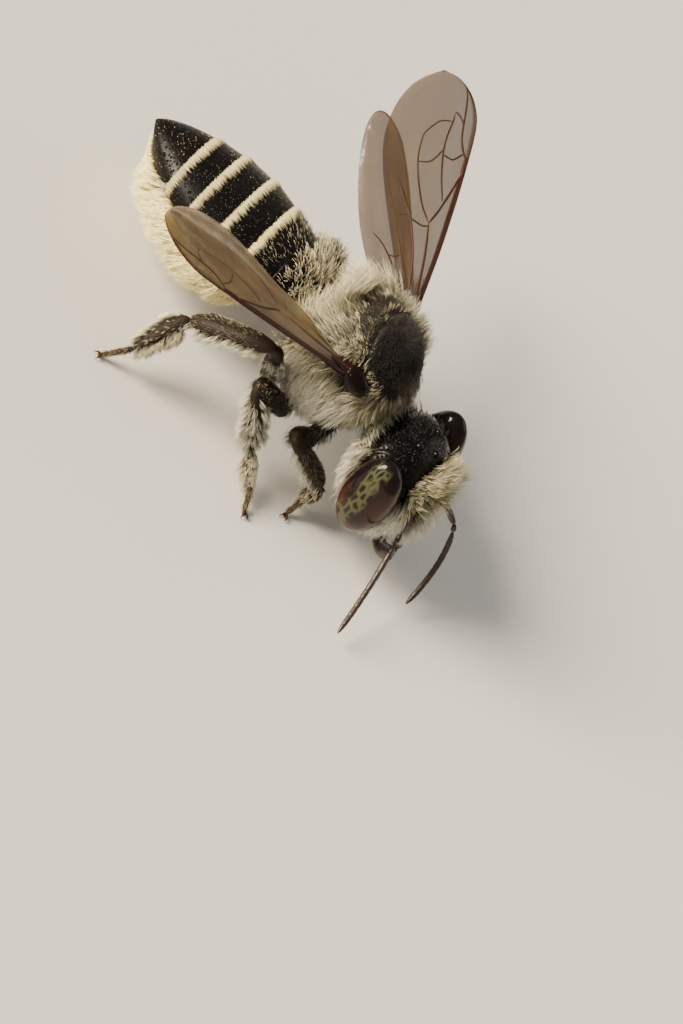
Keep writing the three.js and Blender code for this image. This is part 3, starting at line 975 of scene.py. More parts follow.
@dataclass
class Thorax:
    """The thorax: shell with neck and waist, and a fleece that leaves a short dark nap on its back."""

    skin: ThoraxSkin = field(default_factory=ThoraxSkin)
    disc_middle: float = -0.3
    disc_half: tuple[float, float] = (1.14, 0.92)

    def build(self) -> None:
        """The skin of thorax, neck and waist in one piece."""
        rod = partial(Rod, place=THORAX, columns=32)
        neck = rod(knots=((0, -1.1, -0.2), (0, -2.5, -0.2)), radii=((0, 0.5), (1, 0.42)))
        waist = rod(knots=((0, 1.0, -0.12), (0, 2.3, -0.2)), radii=((0, 0.4), (0.6, 0.3), (1, 0.34)))
        parts = [self.skin.shell(blush=self.under_tint)]
        parts += [bare.shell().marked(blush=0.0) for bare in (neck, waist)]
        nodes = ["thorax", "scutellum", "propodeum", "neck", "waist"]
        put("thorax_shell", joined(parts), THORAX_CUTICLE, Slot.DARK_COAT, nodes)

    def under_tint(self, at: Spots) -> Array:
        """The coat's own markings on the skin: paler under the fleece than under the nap."""
        return 0.3 * self.fleece(at)

    def oval(self, at: Spots) -> Array:
        """Distance from the middle of the dark disc on the scutum, which ends at 1."""
        return np.hypot(at.x / self.disc_half[0], (at.y - self.disc_middle) / self.disc_half[1])

    def nap(self, at: Spots) -> Array:
        """Share of short dark hair: an oval on the scutum and a crescent on the scutellum."""
        disc = fade(self.oval(at) + 0.06 * mottle(at.points, 0.5, 3), 0.9, 1.06)
        crescent = ease(at.y, 0.58, 0.66) * fade(np.hypot(at.x / 1.2, (at.y + 0.1) / 1.12), 0.9, 1.02)
        dark = np.maximum(np.maximum(disc, crescent), 0.88 * self.cropped(at))
        return dark * ease(at.z, 0.45, 0.7)

    def bare(self, at: Spots) -> Array:
        """1 on the wing caps, neck and waist, where nothing grows."""
        cap = fade(within(at.folded, CAP_AT, CAP_HALF), 1.0, 1.2)
        neck = fade(within(at.points, (0, -1.45, -0.2), (0.6, 0.5, 0.6)), 0.9, 1.1)
        waist = fade(within(at.points, (0, 1.35, -0.15), (0.45, 0.5, 0.45)), 0.9, 1.1)
        return np.clip(cap + neck + waist, 0, 1)

    def behind(self, at: Spots) -> Array:
        """1 on the rear slope."""
        return ease(at.y, 0.8, 1.08)

    def ahead(self, at: Spots) -> Array:
        """1 on the front slope, the collar."""
        return ease(-at.y, 0.85, 1.15)

    def fleece(self, at: Spots) -> Array:
        """Where pale hair grows: all but the nap and the bare places."""
        return (1 - self.nap(at)) * (1 - self.bare(at))

    def cropped(self, at: Spots) -> Array:
        """1 on the top between scutum and scutellum, where the pale hair is short and thin."""
        middle = fade(np.abs(at.x) * np.where(at.x > 0, 0.8, 1), 0.85, 1.05)
        return ease(at.z, 0.75, 1.0) * middle * fade(at.y, 0.68, 0.82) * (1 - self.behind(at))

    def fleece_reach(self, at: Spots) -> Array:
        """Full length but on the cropped top and beside the wing caps."""
        beside = fade(within(at.folded, CAP_AT, CAP_HALF), 1.3, 2.0) * ease(at.z, 0.6, 0.8)
        return (1 - 0.6 * self.cropped(at)) * (1 - 0.6 * beside)

    def hackle(self, at: Spots) -> Array:
        """1 on the upper sides behind the wings, where long hair lies straight back."""
        return ease(at.y, 0.3, 0.5) * ease(at.z, 0.0, 0.35) * ease(np.abs(at.x), 0.75, 1.0)

    def sides(self, at: Spots) -> Array:
        """The fleece of flanks and back, thin where it is cropped or long hair lies over it."""
        thin = (1 - 0.8 * self.cropped(at)) * (1 - 0.8 * self.hackle(at))
        return self.fleece(at) * (1 - self.behind(at)) * (1 - self.ahead(at)) * thin

    def shoulder(self, at: Spots) -> Array:
        """Both sides of the scutum, where a fringe stands out over the edge of the back."""
        x, y, z = at.xyz
        cap = ease(within(at.folded, CAP_AT, (0.5, 0.62, 0.5)), 0.95, 1.1)
        edge = bell(np.abs(x), 1.2, 0.13) * np.where(x > 0, 1.0, 0.4 * 0.22 * cap)
        return edge * ease(z, 0.5, 0.8) * fade(y, 0.9, 1.1) * ease(y, -1.3, -1.0)

    def nape(self, at: Spots) -> Array:
        """1 on the middle of the collar, behind the head."""
        return fade(np.abs(at.x), 0.8, 1.2) * ease(at.z, 0.0, 0.5)

    def dust(self, at: Spots) -> Array:
        """Paler hairs in the nap: in patches towards the front, and at its rear rim."""
        front = 0.85 * ease(-at.y, 0.55, 1.05) * ease(mottle(at.points, 0.35, 9), -0.5, 0.6)
        return 0.6 * np.clip(front + bell(self.oval(at), 1.04, 0.07) * ease(at.y, 0.0, 0.3), 0, 1)

    def under_mix(self, at: Spots) -> Array:
        """Cream in the grey underfur: mottled, and less of it behind and at the nape."""
        mix = clouded(0.5, 0.35, 0.6, 8)(at) * (1 - 0.8 * self.behind(at))
        return mix * (1 - 0.8 * self.ahead(at) * self.nape(at))

    def lie(self, at: Spots) -> Array:
        """Down and out on the flanks, back and up behind, forwards and down on the collar."""
        x, y, z = at.xyz
        low, aft = fade(z, 0.1, 0.7)[..., None], ease(y, 0.1, 0.45)
        aside = 0.7 * np.tanh(x * 4) * (1 - 0.6 * aft)
        crown = stack(aside, 0.1 + 0.9 * aft, 0.3 * ease(z, 0.7, 1.2) * (1 - aft))
        way = parted(0.65, -0.29, -0.7)(at) * low + crown * (1 - low)
        rear, front = self.behind(at)[..., None], self.ahead(at)[..., None]
        way = way * (1 - rear) * (1 - front) + rear * fanned(0.35, 0.9, 0.45)(at)
        return way + front * fanned(0.2, -0.8, -0.45)(at)

    def dress(self) -> None:
        """Long fleece, underfur and nap."""
        patch = partial(
            Patch, skin=self.skin, lie=self.lie, lock=3, spread=0.045, gather=0.3, width=0.018
        )
        flanks = patch(
            cover=self.sides, reach=self.fleece_reach, count=5200, length=(0.44, 0.72), lift=(42, 16),
            spread=0.05, gather=0.2, stray=13, seed=11,
            tone=DUN, other=WHITE, mix=lambda at: 0.95 - 0.9 * ease(at.z, 0.1, 0.8),
        )
        rear = patch(
            cover=lambda at: self.fleece(at) * np.maximum(self.behind(at), 0.85 * self.hackle(at)),
            count=2500, length=(0.74, 1.08), lift=(52, 30), lock=1, spread=0.04, width=0.0155,
            stray=9, seed=12, tone=DUN, other=CREAM, mix=clouded(0.4, 0.5, 0.12, 17),
        )
        collar = patch(
            cover=lambda at: self.fleece(at) * self.ahead(at), count=1900, length=(0.36, 0.56),
            lift=(48, 12), stray=14, seed=13, tone=CREAM, other=GREY, mix=self.nape,
        )
        fringe = patch(
            cover=self.shoulder, lie=parted(1.0, 0.15, 0.25), count=900, length=(0.42, 0.66),
            lift=(62, 48), lock=2, gather=0.2, width=0.017, seed=16, tone=CREAM,
        )
        underfur = patch(
            cover=self.fleece, count=16500, length=(0.16, 0.28), lift=(55, 30), spread=0.04,
            stray=20, rings=2, seed=14, tone=GREY, other=CREAM, mix=self.under_mix,
        )
        nap = patch(
            cover=self.nap, count=12500, length=(0.06, 0.12), lift=(66, 44), lock=1, spread=0.02,
            width=0.014, stray=20, rings=2, seed=15, tone=SOOT, other=GREY, mix=self.dust,
        )
        coat("thorax_fleece", Slot.PALE_COAT, [flanks, rear, collar, fringe])
        coat("thorax_underfur", Slot.PALE_COAT, [underfur])
        coat("thorax_nap", Slot.DARK_COAT, [nap], DARK_HAIR)


@dataclass
class Tegula:
    """The glossy cap over a wing's root, with a rounded edge."""

    side: Side
    half: tuple[float, float, float] = (0.27, 0.42, 0.24)

    def build(self) -> None:
        """A boxy dome, redder towards its rear lower edge."""
        sign, label = self.side.value, self.side.label
        place = THORAX.child((sign * CAP_AT[0], *CAP_AT[1:]), turn(1, sign * 35))
        dome = Ball.even(place, self.half, 64, 48, bottom=self.half[2] * 0.6, square=2.3)
        shell = dome.shell(blush=lambda at: ease(at.y - at.z, 0.05, 0.4))
        put(f"tegula_cap_{label}", shell, CAP_CUTICLE, Slot.TEGULA, [f"tegula_{label}"])


# ------------------------------------------------------------
# Head
EYE_AT = (1.4, -0.2, 0.0)
EYE_HALF = (0.5, 0.65, 1.24)
EYE_LEAN = (9.0, 4.0)  # degrees about X and Y
SOCKET = (0.42, -0.95, -0.05)
SCAPE_RUN = np.array([0.28, -0.86])  # mm across and up, from a socket to where the scape leaves the fur


def off_eye(at: Spots, low: float, high: float) -> Array:
    """0 by an eye and 1 away from it, between two distances in units of the eye's own size."""
    return ease(within(at.folded, EYE_AT, EYE_HALF), low, high)


@dataclass(frozen=True, kw_only=True, eq=False)
class HeadSkin(Ball):
    """The head capsule: a boxy ball narrowing to the jaws, with clypeus, sockets and rims of eyes."""

    place: Place = HEAD
    width: float = 1.46
    top: float = 1.4
    bottom: float = 1.3
    front: float = 1.05
    rear: float = 0.8
    square: float = 2.3
    columns: int = 180
    rows: int = 130

    def shaped(self, way: Array) -> Array:
        """Below the eyes the head narrows to the jaws and its face slopes forwards."""
        below = np.clip(-way[..., 2], 0, 1)
        x, y, z = np.moveaxis(super().shaped(way), -1, 0)
        return stack(x * (1 - 0.24 * below**1.5), y - 0.12 * below, z)

    def relief(self, x: Array, y: Array, z: Array) -> Array:
        """A swollen clypeus with a seam, rimmed dimples for the feelers, grooves at the eyes."""
        shield = np.hypot(x / 0.62, (z + 0.78) / 0.45)
        out = 0.13 * np.exp(-(shield**4)) - 0.03 * bell(shield, 1.08, 0.07)
        socket = np.hypot(np.abs(x) - SOCKET[0], z - SOCKET[2])
        out = out + 0.035 * bell(socket, 0.2, 0.05) - 0.1 * bell(socket, 0, 0.13)
        out = out + 0.04 * bell(x, 0, 0.06) * bell(z, 0.1, 0.3)
        groove = 0.035 * bell(within(stack(np.abs(x), y, z), EYE_AT, EYE_HALF), 1.13, 0.05)
        return out * ease(-y, 0.3, 0.7) - groove


@dataclass
class Head:
    """The head: capsule, ocelli and lip, with its fur."""

    skin: HeadSkin = field(default_factory=HeadSkin)
    ocelli: tuple = ((0.0, -0.75), (0.42, -0.42), (-0.42, -0.42))

    def build(self) -> None:
        """The capsule with the lip between the jaws, and three ocelli on top."""
        lip = Rod(
            place=HEAD, knots=((0, -0.95, -1.05), (0, -1.0, -1.45), (0, -0.88, -1.75)),
            radii=((0, 0.3), (0.7, 0.34), (1, 0.24)), up=(0, -1, 0), flat=0.3, blunt=5, columns=28,
        )
        capsule = joined([self.skin.shell(blush=self.under_tint), lip.shell().marked(blush=0.0)])
        put("head_capsule", capsule, HEAD_CUTICLE, Slot.DARK_COAT, ["head"])
        places = [HEAD.child((x, y, self.surface_height(x, y))) for x, y in self.ocelli]
        domes = [Ball.even(place, (0.095, 0.095, 0.08), 28, 20, top=0.085).shell() for place in places]
        put("ocelli", joined(domes).marked(net=0.0, rust=0.0), EYE_GLAZE, Slot.EYE, [])

    def under_tint(self, at: Spots) -> Array:
        """The coat's own markings on the skin: paler where face and cheeks are furred."""
        return 0.35 * self.face(at) + 0.45 * self.gena(at)

    def surface_height(self, x: float, y: float) -> float:
        """Height of the capsule's top above a place on the head's own floor plan."""
        around, along = np.meshgrid(np.linspace(0, 0.5, 120), np.linspace(0.02, 0.98, 160))
        points = self.skin.at(around.ravel(), along.ravel())
        return float(points[np.argmin(np.hypot(points[:, 0] - x, points[:, 1] - y)), 2])

    def open_skin(self, at: Spots) -> Array:
        """1 away from eyes and antenna sockets, with a parting where each scape lies."""
        away = stack(np.abs(at.x) - SOCKET[0], at.z - SOCKET[2])
        socket = ease(np.hypot(away[..., 0], (away[..., 1] + 0.12) * 0.6), 0.18, 0.38)
        run = np.clip(away @ SCAPE_RUN / (SCAPE_RUN @ SCAPE_RUN), 0, 1)
        parting = ease(np.linalg.norm(away - run[..., None] * SCAPE_RUN, axis=-1), 0.15, 0.3)
        return off_eye(at, 1.02, 1.1) * np.maximum(socket * parting, ease(at.y, -0.6, -0.4))

    def face(self, at: Spots) -> Array:
        """Front of the head below the ocelli, thinner on the clypeus."""
        x, y, z = at.xyz
        clypeus = 1 - 0.65 * bell(np.hypot(x / 0.5, (z + 0.85) / 0.35), 0, 0.9)
        brow = fade(z + 0.45 * np.clip(np.abs(x) - 0.35, 0, 1), 0.1, 0.95)
        return ease(-y, 0.4, 0.7) * brow * self.open_skin(at) * clypeus * off_eye(at, 1.4, 1.75)

    def face_lie(self, at: Spots) -> Array:
        """Forwards, and a little out from the middle of the face."""
        return stack(at.x * 0.45, -0.6, (at.z + 0.05) * 0.7 + 0.05)

    def gena(self, at: Spots) -> Array:
        """Cheeks behind and below the eyes."""
        cheek = ease(at.y, -0.2, 0.15) * ease(np.abs(at.x), 0.45, 0.75) * fade(at.z, 0.65, 1.0)
        return cheek * self.open_skin(at) * (0.25 + 0.75 * off_eye(at, 1.08, 1.32))

    def margin(self, at: Spots) -> Array:
        """The strip between the lower inner edge of an eye and the clypeus."""
        strip = bell(np.abs(at.x), 0.92, 0.2) * bell(at.z, -0.6, 0.45) * ease(-at.y, 0.45, 0.65)
        return strip * self.open_skin(at)

    def dress(self) -> None:
        """Gold face hair, white cheek hair, and short hair on the top and back of the head."""
        cheek_lie, rear_lie = parted(0.6, 0.2, -0.7), fanned(0.3, 0.6, 0.5)
        upper = lambda at: ease(at.z, -0.25, 0.15)
        long = partial(Patch, skin=self.skin, lock=4, spread=0.035, gather=0.4, width=0.016)
        coat("face_hair", Slot.DARK_COAT, [
            long(
                cover=lambda at: self.face(at) * upper(at), lie=self.face_lie,
                reach=lambda at: 1 - 0.55 * ease(np.abs(at.x), 0.4, 0.6) * ease(at.z, 0.0, 0.3),
                count=2000, length=(0.46, 0.86), lift=(72, 42), stray=14, seed=21,
                tone=GOLD, other=GREY, mix=clouded(0.22, 0.45, 0.14, 13),
            ),
            long(
                cover=lambda at: self.face(at) * (1 - upper(at)), lie=self.face_lie,
                count=2000, length=(0.32, 0.6), lift=(66, 38), stray=16, seed=22,
                tone=GOLD, other=WHITE, mix=lambda at: ease(-at.z, 0.0, 0.4),
            ),
            long(
                cover=self.margin, lie=cheek_lie, count=1900, length=(0.42, 0.66), lift=(46, 20),
                width=0.018, stray=9, seed=23, tone=WHITE,
            ),
            long(
                cover=self.gena, lie=cheek_lie, count=2000, length=(0.4, 0.64), lift=(40, 16),
                spread=0.04, width=0.017, seed=24,
                tone=WHITE, other=GREY, mix=clouded(0.3, 0.3, 0.25, 14),
            ),
            long(
                cover=lambda at: ease(-at.z, 0.7, 0.95) * self.open_skin(at),
                lie=fanned(0.3, -0.2, -0.9), count=900, length=(0.2, 0.36), lift=(50, 30), lock=3,
                spread=0.05, gather=0.45, width=0.02, seed=25, tone=GOLD, other=CREAM,
            ),
        ])
        short = partial(Patch, skin=self.skin, lock=3, spread=0.035, width=0.016, rings=2)
        coat("head_underfur", Slot.DARK_COAT, [
            short(
                cover=self.face, lie=self.face_lie, count=2800, length=(0.14, 0.26), lift=(60, 35),
                stray=20, seed=26, tone=GREY, other=GOLD, mix=clouded(0.05, 0.25, 0.4, 5),
            ),
            short(
                cover=self.gena, lie=cheek_lie, count=4200, length=(0.14, 0.24), lift=(50, 28),
                stray=18, seed=27, tone=GREY, other=WHITE, mix=clouded(0.25, 0.35, 0.4, 6),
            ),
            short(
                cover=lambda at: ease(at.y, 0.3, 0.5) * ease(at.z, 0.1, 0.5), lie=rear_lie,
                count=900, length=(0.26, 0.44), lift=(60, 40), spread=0.06, width=0.02, stray=22,
                seed=28, tone=CREAM, other=WHITE, mix=0.5,
            ),
            short(
                cover=lambda at: ease(at.z, 0.9, 1.1) * self.open_skin(at), lie=rear_lie,
                count=260, length=(0.07, 0.15), lift=(65, 50), lock=1, spread=0.01, width=0.012,
                stray=25, seed=29, tone=SOOT, other=GREY, mix=0.2,
            ),
        ])


@dataclass
class Eye:
    """A compound eye: a smooth tall dome with an olive net over dark pigment."""

    side: Side

    def build(self) -> None:
        """An ellipsoid set in the head, with its markings worked out from the dome's own directions."""
        sign, label = self.side.value, self.side.label
        lean = turn(0, EYE_LEAN[0]) @ turn(1, sign * EYE_LEAN[1])
        place = HEAD.child((sign * EYE_AT[0], *EYE_AT[1:]), lean)
        shell = Ball.even(place, EYE_HALF, 120, 80).shell(net=self.net, rust=self.rust, spot=self.spot)
        put(f"eye_dome_{label}", shell, EYE_GLAZE, Slot.EYE, [f"eye_{label}"])

    def spot(self, at: Spots) -> Array:
        """The place itself, mirrored for the right eye, as a colour mark."""
        return stack(at.x * self.side.value, at.y, at.z, 1.0)

    def net(self, at: Spots) -> Array:
        """A band down the outer face of the dome, bending back towards the bottom."""
        x, y, z = at.xyz
        middle = 0.02 + 0.3 * np.clip(-z, 0, 0.6) + 0.05 * np.clip(z, 0, 1.2)
        middle = middle + 0.05 * mottle(at.points, 0.7, 2)
        off = np.abs(y - middle) / (0.25 - 0.03 * np.clip(z, 0, 1))
        ends = ease(z, -0.98, -0.7) * fade(z, 1.08, 1.2)
        return 0.9 * fade(off, 0.6, 1.15) * ends * ease(x * self.side.value, -0.12, 0.02)

    def rust(self, at: Spots) -> Array:
        """Red-brown towards the rear edge, the front edge and the bottom."""
        rear = 0.8 * bell(at.y, 0.5, 0.25) * bell(at.z, -0.4, 0.45)
        front = 0.8 * bell(at.y, -0.55, 0.28) * bell(at.z, 0.1, 0.7)
        return np.clip(0.04 + rear + front + 0.9 * ease(-at.z, 0.6, 1.0), 0, 1)


@dataclass
class Jaw:
    """A mandible: a broad curved blade with four teeth."""

    side: Side

    def build(self) -> None:
        """A flattened rod from cheek to chin, with a row of teeth on its end."""
        sign, label = self.side.value, self.side.label
        front = -0.05 if self.side is Side.RIGHT else 0.03  # the right jaw closes over the left
        rod = partial(Rod, place=HEAD, up=(0, -1, 0))
        bend, end = (sign * 0.74, -0.84 + front, -1.55), (sign * 0.3, -1.02 + front, -1.88)
        blade = rod(
            knots=((sign * 0.8, -0.6, -1.2), bend, end), radii=((0, 0.24), (0.5, 0.19), (1, 0.23)),
            flat=0.5, blunt=6, columns=30,
        )
        parts = [blade.shell()]
        for share in np.arange(4) / 3:
            root = np.array([sign * (0.34 - 0.16 * share), -1.0 + front, -1.98 + 0.3 * share])
            tip = root + np.array([-sign * 0.2, -0.01, -0.06 + 0.06 * share])
            radii = ((0, 0.075), (0.6, 0.045), (1, 0.02))
            parts.append(rod(knots=(root, tip), radii=radii, columns=12, rows=10).shell())
        shell = joined(parts)
        shell.marks["blush"] = 0.7 * fade(HEAD.local(shell.points)[:, 2], -1.8, -1.3)
        put(f"jaw_{label}", shell, JAW_CUTICLE, Slot.MANDIBLE, [f"mandible_{label}"])


@dataclass
class Antenna:
    """An elbowed antenna: scape, pedicel and a flagellum of ten rings."""

    side: Side
    elbow: tuple[float, float, float]
    bend: tuple[float, float, float]
    tip: tuple[float, float, float]
    radius: float = 0.074

    def build(self) -> None:
        """Rods along the antenna's path; the flagellum's radius dips at each joint."""
        sign, r, label = self.side.value, self.radius, self.side.label
        socket = np.array([sign * SOCKET[0], *SOCKET[1:]])
        elbow, bend, tip = (np.array(p) for p in (self.elbow, self.bend, self.tip))
        belly = (socket + elbow) / 2 + np.array([sign * 0.03, -0.05, 0.0])
        t = np.linspace(0, 1, 12)[:, None]
        route = elbow * (1 - t) ** 2 + 2 * bend * t * (1 - t) + tip * t**2
        rod = partial(Rod, place=HEAD)
        parts = (
            (0.2, Ball.even(HEAD.child(socket), (0.12,) * 3, 20, 14)),
            (0.55, rod(
                knots=(socket, belly, elbow), radii=((0, 0.7 * r), (0.12, r), (0.7, 1.15 * r), (1, r))
            )),
            (0.2, rod(
                knots=(elbow, route[1]), radii=((0, 0.7 * r), (0.7, 0.95 * r), (1, 0.8 * r)), rows=14
            )),
            (0.0, rod(
                knots=route[1:], radii=((0, 0.8 * r), (0.12, r), (0.9, r), (1, 0.8 * r)),
                joints=10, columns=24, rows=150,
            )),
        )
        shell = joined([skin.shell().marked(blush=blush) for blush, skin in parts])
        nodes = [f"scape_{label}", f"flagellum_{label}"]
        put(f"antenna_{label}", shell, FEELER_CUTICLE, Slot.ANTENNA, nodes)


# ------------------------------------------------------------
# Abdomen
SEGMENT_ENDS = (0.14, 0.293, 0.451, 0.61, 0.755)
BANDED_ENDS = SEGMENT_ENDS[1:]


@dataclass(frozen=True, kw_only=True, eq=False)
class AbdomenSkin(Skin):
    """The abdomen: an oval drawn out behind, curling up, whose plates overlap from front to rear.

    Its parameter `along` is the share of its length. Blunt up to `full_at`, then tapering.
    """

    place: Place = ABDOMEN
    length: float = 5.3
    width: float = 1.66
    dorsal: float = 0.98
    ventral: float = 0.95
    full_at: float = 0.36
    curl: float = 0.75
    plate_step: float = 0.035
    columns: int = 160
    rows: int = 120

    def fullness(self, along: Array) -> Array:
        """Share of the full section: a cubic ease out of the front, a steeper run in to the tip."""
        ahead = np.clip((self.full_at - along) / self.full_at, 0, 1)
        behind = np.clip((along - self.full_at) / (1 - self.full_at), 0, 1)
        return np.where(along < self.full_at, (1 - ahead**3) ** 0.5, (1 - behind**1.9) ** 0.75)

    def brush(self, along: Array) -> Array:
        """Depth of the pollen brush below: a flat-topped curve about its middle."""
        return 1.2 * np.sqrt(np.clip(1 - ((along - 0.62) / 0.42) ** 4, 0, 1))

    def at(self, around: Array, along: Array) -> Array:
        """Half ellipses above and below an axis that curls up, wider along each plate to its edge."""
        theta, full = 2 * np.pi * around, self.fullness(along)
        step = 0 * along
        for low, high in zip((0.0, *SEGMENT_ENDS), SEGMENT_ENDS):
            share = np.clip((along - low) / (high - low), 0, 1)
            step = step + self.plate_step * share**2 * fade(along, high, high + 0.0025)
        below = (self.ventral * full + 0.28 * self.brush(along)) * np.minimum(1, full * 3)
        height = np.where(np.sin(theta) > 0, self.dorsal * full, below)
        out = 1 + step * np.minimum(1, full * 2)
        x = np.cos(theta) * self.width * full * out * (1 - 0.19 * bell(along, 0.16, 0.2))
        return stack(x, along * self.length, np.sin(theta) * height * out + self.curl * along**2.2)

    def stations(self) -> Array:
        """Rings spaced for the ends, with two more at the edge of each plate."""
        edges = np.array(SEGMENT_ENDS)
        return np.unique(np.concatenate([super().stations(), edges, edges + 0.0012, edges + 0.0026]))


@dataclass
class Abdomen:
    """The abdomen: black plates with cream bands, long hair in front and a cream brush below."""

    skin: AbdomenSkin = field(default_factory=AbdomenSkin)
    band: float = 0.058  # share of the abdomen's length
    side_limit: float = -0.035

    def build(self) -> None:
        """The six plates."""
        nodes = [f"abdomen_segment_{k}" for k in range(1, 7)]
        shell = self.skin.shell(blush=self.under_tint)
        put("abdomen_plates", shell, PLATE_CUTICLE, Slot.BLACK_SHELL, nodes)

    def across_bands(self, at: Spots) -> list[Array]:
        """For each band, how far across it a place is, from 0 at its front edge to 1 at its rear."""
        return [(at.along - (edge - self.band)) / self.band for edge in BANDED_ENDS]

    def under_tint(self, at: Spots) -> Array:
        """The coat's own markings on the skin: cream under the bands and under the brush."""
        bands = sum(ease(share, 0.55, 0.75) * fade(share, 0.93, 1.0) for share in self.across_bands(at))
        return 0.8 * self.under(at) + 0.8 * bands * ease(at.height, -0.2, 0.0)

    def bands(self, at: Spots) -> Array:
        """Four bands in front of plate edges, with comb teeth on their front edge."""
        tooth = 0.5 + 0.5 * np.sin(2 * np.pi * at.around * 130 + 3 * mottle(at.points, 0.3, 4))
        total = 0 * at.along
        for share in self.across_bands(at):
            body = ease(share, 0, 0.12) * fade(share, 0.93, 1.0)
            total = total + body * (tooth**2 + (1 - tooth**2) * ease(share, 0.3, 0.85))
        return total * ease(at.height, self.side_limit - 0.15, self.side_limit)

    def band_reach(self, at: Spots) -> Array:
        """Millimetres from a root to the rear edge of its band."""
        gap = np.array(BANDED_ENDS) - at.along[..., None] + 0.004
        return np.clip(np.where(gap < 0, 9, gap).min(-1) * self.skin.length, 0.07, 0.3)

    def front_hair(self, at: Spots) -> Array:
        """Long hair over the front of the first two plates."""
        return ease(at.along, 0.0, 0.006) * fade(at.along, 0.07, 0.13) * ease(at.height, 0.0, 0.4)

    def under(self, at: Spots) -> Array:
        """The whole underside, where the brush grows."""
        edge = -0.04 - 0.45 * ease(at.along, 0.74, 0.92)
        below = fade(at.height, edge - 0.2, edge)
        return below * ease(at.along, 0.16, 0.24) * fade(at.along, 0.93, 0.97)

    def brush_reach(self, at: Spots) -> Array:
        """Length of the brush: from the skin to the brush's outline, leaning back."""
        depth = 0.1 * self.skin.fullness(at.along) + 0.72 * self.skin.brush(at.along)
        short = 1 - 0.78 * ease(at.along, 0.74, 0.95)
        return (0.14 + 0.82 * depth * np.abs(at.height) ** 0.7) * short

    def first_plates(self, at: Spots) -> Array:
        """A few grey hairs on top behind the long ones."""
        return ease(at.along, 0.13, 0.15) * fade(at.along, 0.2, 0.28) * ease(at.height, -0.1, 0.2)

    def flank(self, at: Spots) -> Array:
        """A fringe along both sides, between plates and brush."""
        return bell(at.height, -0.16, 0.12) * ease(at.along, 0.16, 0.24) * fade(at.along, 0.72, 0.8)

    def dress(self) -> None:
        """Bands, long front hair, small hairs on the black plates, and the pollen brush."""
        brush_lie = fanned(0.3, 1.0, -0.25)
        patch = partial(Patch, skin=self.skin, lie=fanned(0.0, 1.0, 0.1), lock=1, spread=0.01, rings=2)
        bands = patch(
            cover=self.bands, reach=self.band_reach, count=14500, length=(0.95, 1.02), lift=(9, 1),
            lock=2, gather=0.2, width=0.019, stray=4, seed=31, tone=BAND,
        )
        front = patch(
            cover=self.front_hair, lie=fanned(0.35, 0.9, 0.5), count=460, length=(0.4, 0.62),
            lift=(64, 4), lock=2, spread=0.05, gather=0.3, width=0.02, stray=16, rings=4, seed=32,
            tone=GREY, other=CREAM, mix=lambda at: 0.9 - 0.4 * ease(at.along, 0.08, 0.2),
        )
        first_plates = patch(
            cover=self.first_plates, count=190, length=(0.14, 0.26), lift=(36, 8), spread=0.02,
            width=0.013, stray=14, seed=33, tone=GREY, other=CREAM, mix=0.25,
        )
        flank = patch(
            cover=self.flank, lie=brush_lie, count=1500, length=(0.18, 0.32), lift=(42, 20), lock=4,
            spread=0.04, width=0.02, stray=14, seed=34, tone=CREAM, other=WHITE, mix=0.5,
        )
        plates = patch(
            cover=lambda at: ease(at.height, -0.15, 0.05) * ease(at.along, 0.13, 0.2),
            count=220, length=(0.035, 0.06), lift=(28, 12), width=0.012, seed=35, tone=TAWNY,
        )
        last_plate = patch(
            cover=lambda at: ease(at.along, 0.745, 0.77) * ease(at.height, -0.5, -0.2), count=60,
            length=(0.04, 0.07), lift=(32, 14), width=0.014, seed=36, tone=TAWNY, other=CREAM, mix=0.3,
        )
        # The brush hairs' yellow is partly their own colour and partly painted warm yellow light.
        brush = partial(
            patch, cover=self.under, lie=brush_lie, reach=self.brush_reach, count=8600,
            length=(0.86, 1.06), lift=(54, 38), lock=5, spread=0.045, gather=0.35, width=0.028,
            stray=8, rings=3, tone=BRUSH,
        )
        coat("abdomen_bands", Slot.PALE_COAT, [bands])
        coat("abdomen_hair", Slot.BLACK_SHELL, [front, first_plates, flank, plates, last_plate])
        coat("pollen_brush_deep", Slot.PALE_COAT, [brush(seed=37)])
        coat("pollen_brush_top", Slot.PALE_COAT, [brush(seed=38)])


# ------------------------------------------------------------
# Wings
@dataclass(frozen=True)
class WingPlan:
    """A wing's outline as four Bezier curves, from the front of its root round to the rear of it.

    `lead_break` and `trail_break` are the shares of the span where its edges change curve.
    """

    edges: tuple
    lead_break: float
    trail_break: float

    def edge(self, share: Array, near: tuple, far: tuple, split: float) -> Array:
        """Two curves end to end, the first up to the split."""
        near = bezier(near, np.clip(share / split, 0, 1))
        far = bezier(far, np.clip((share - split) / (1 - split), 0, 1))
        return np.where((share < split)[..., None], near, far)

    def spot(self, span: Array, chord: Array) -> Array:
        """A place on the wing: straight across from the front edge (chord 0) to the rear one (1)."""
        span, chord = np.asarray(span, float), np.asarray(chord, float)[..., None]
        first, second, third, fourth = self.edges
        lead = self.edge(span, first, second, self.lead_break)
        trail = self.edge(span, fourth[::-1], third[::-1], self.trail_break)
        return lead * (1 - chord) + trail * chord


def outline(length: float, width: float, corners: tuple) -> tuple:
    """Bezier corners given as (x, share of width, share of length) turned to millimetres."""
    points = [(x + w * width, share * length) for x, w, share in corners]
    return tuple(tuple(points[k : k + 4]) for k in (0, 3, 6, 9))


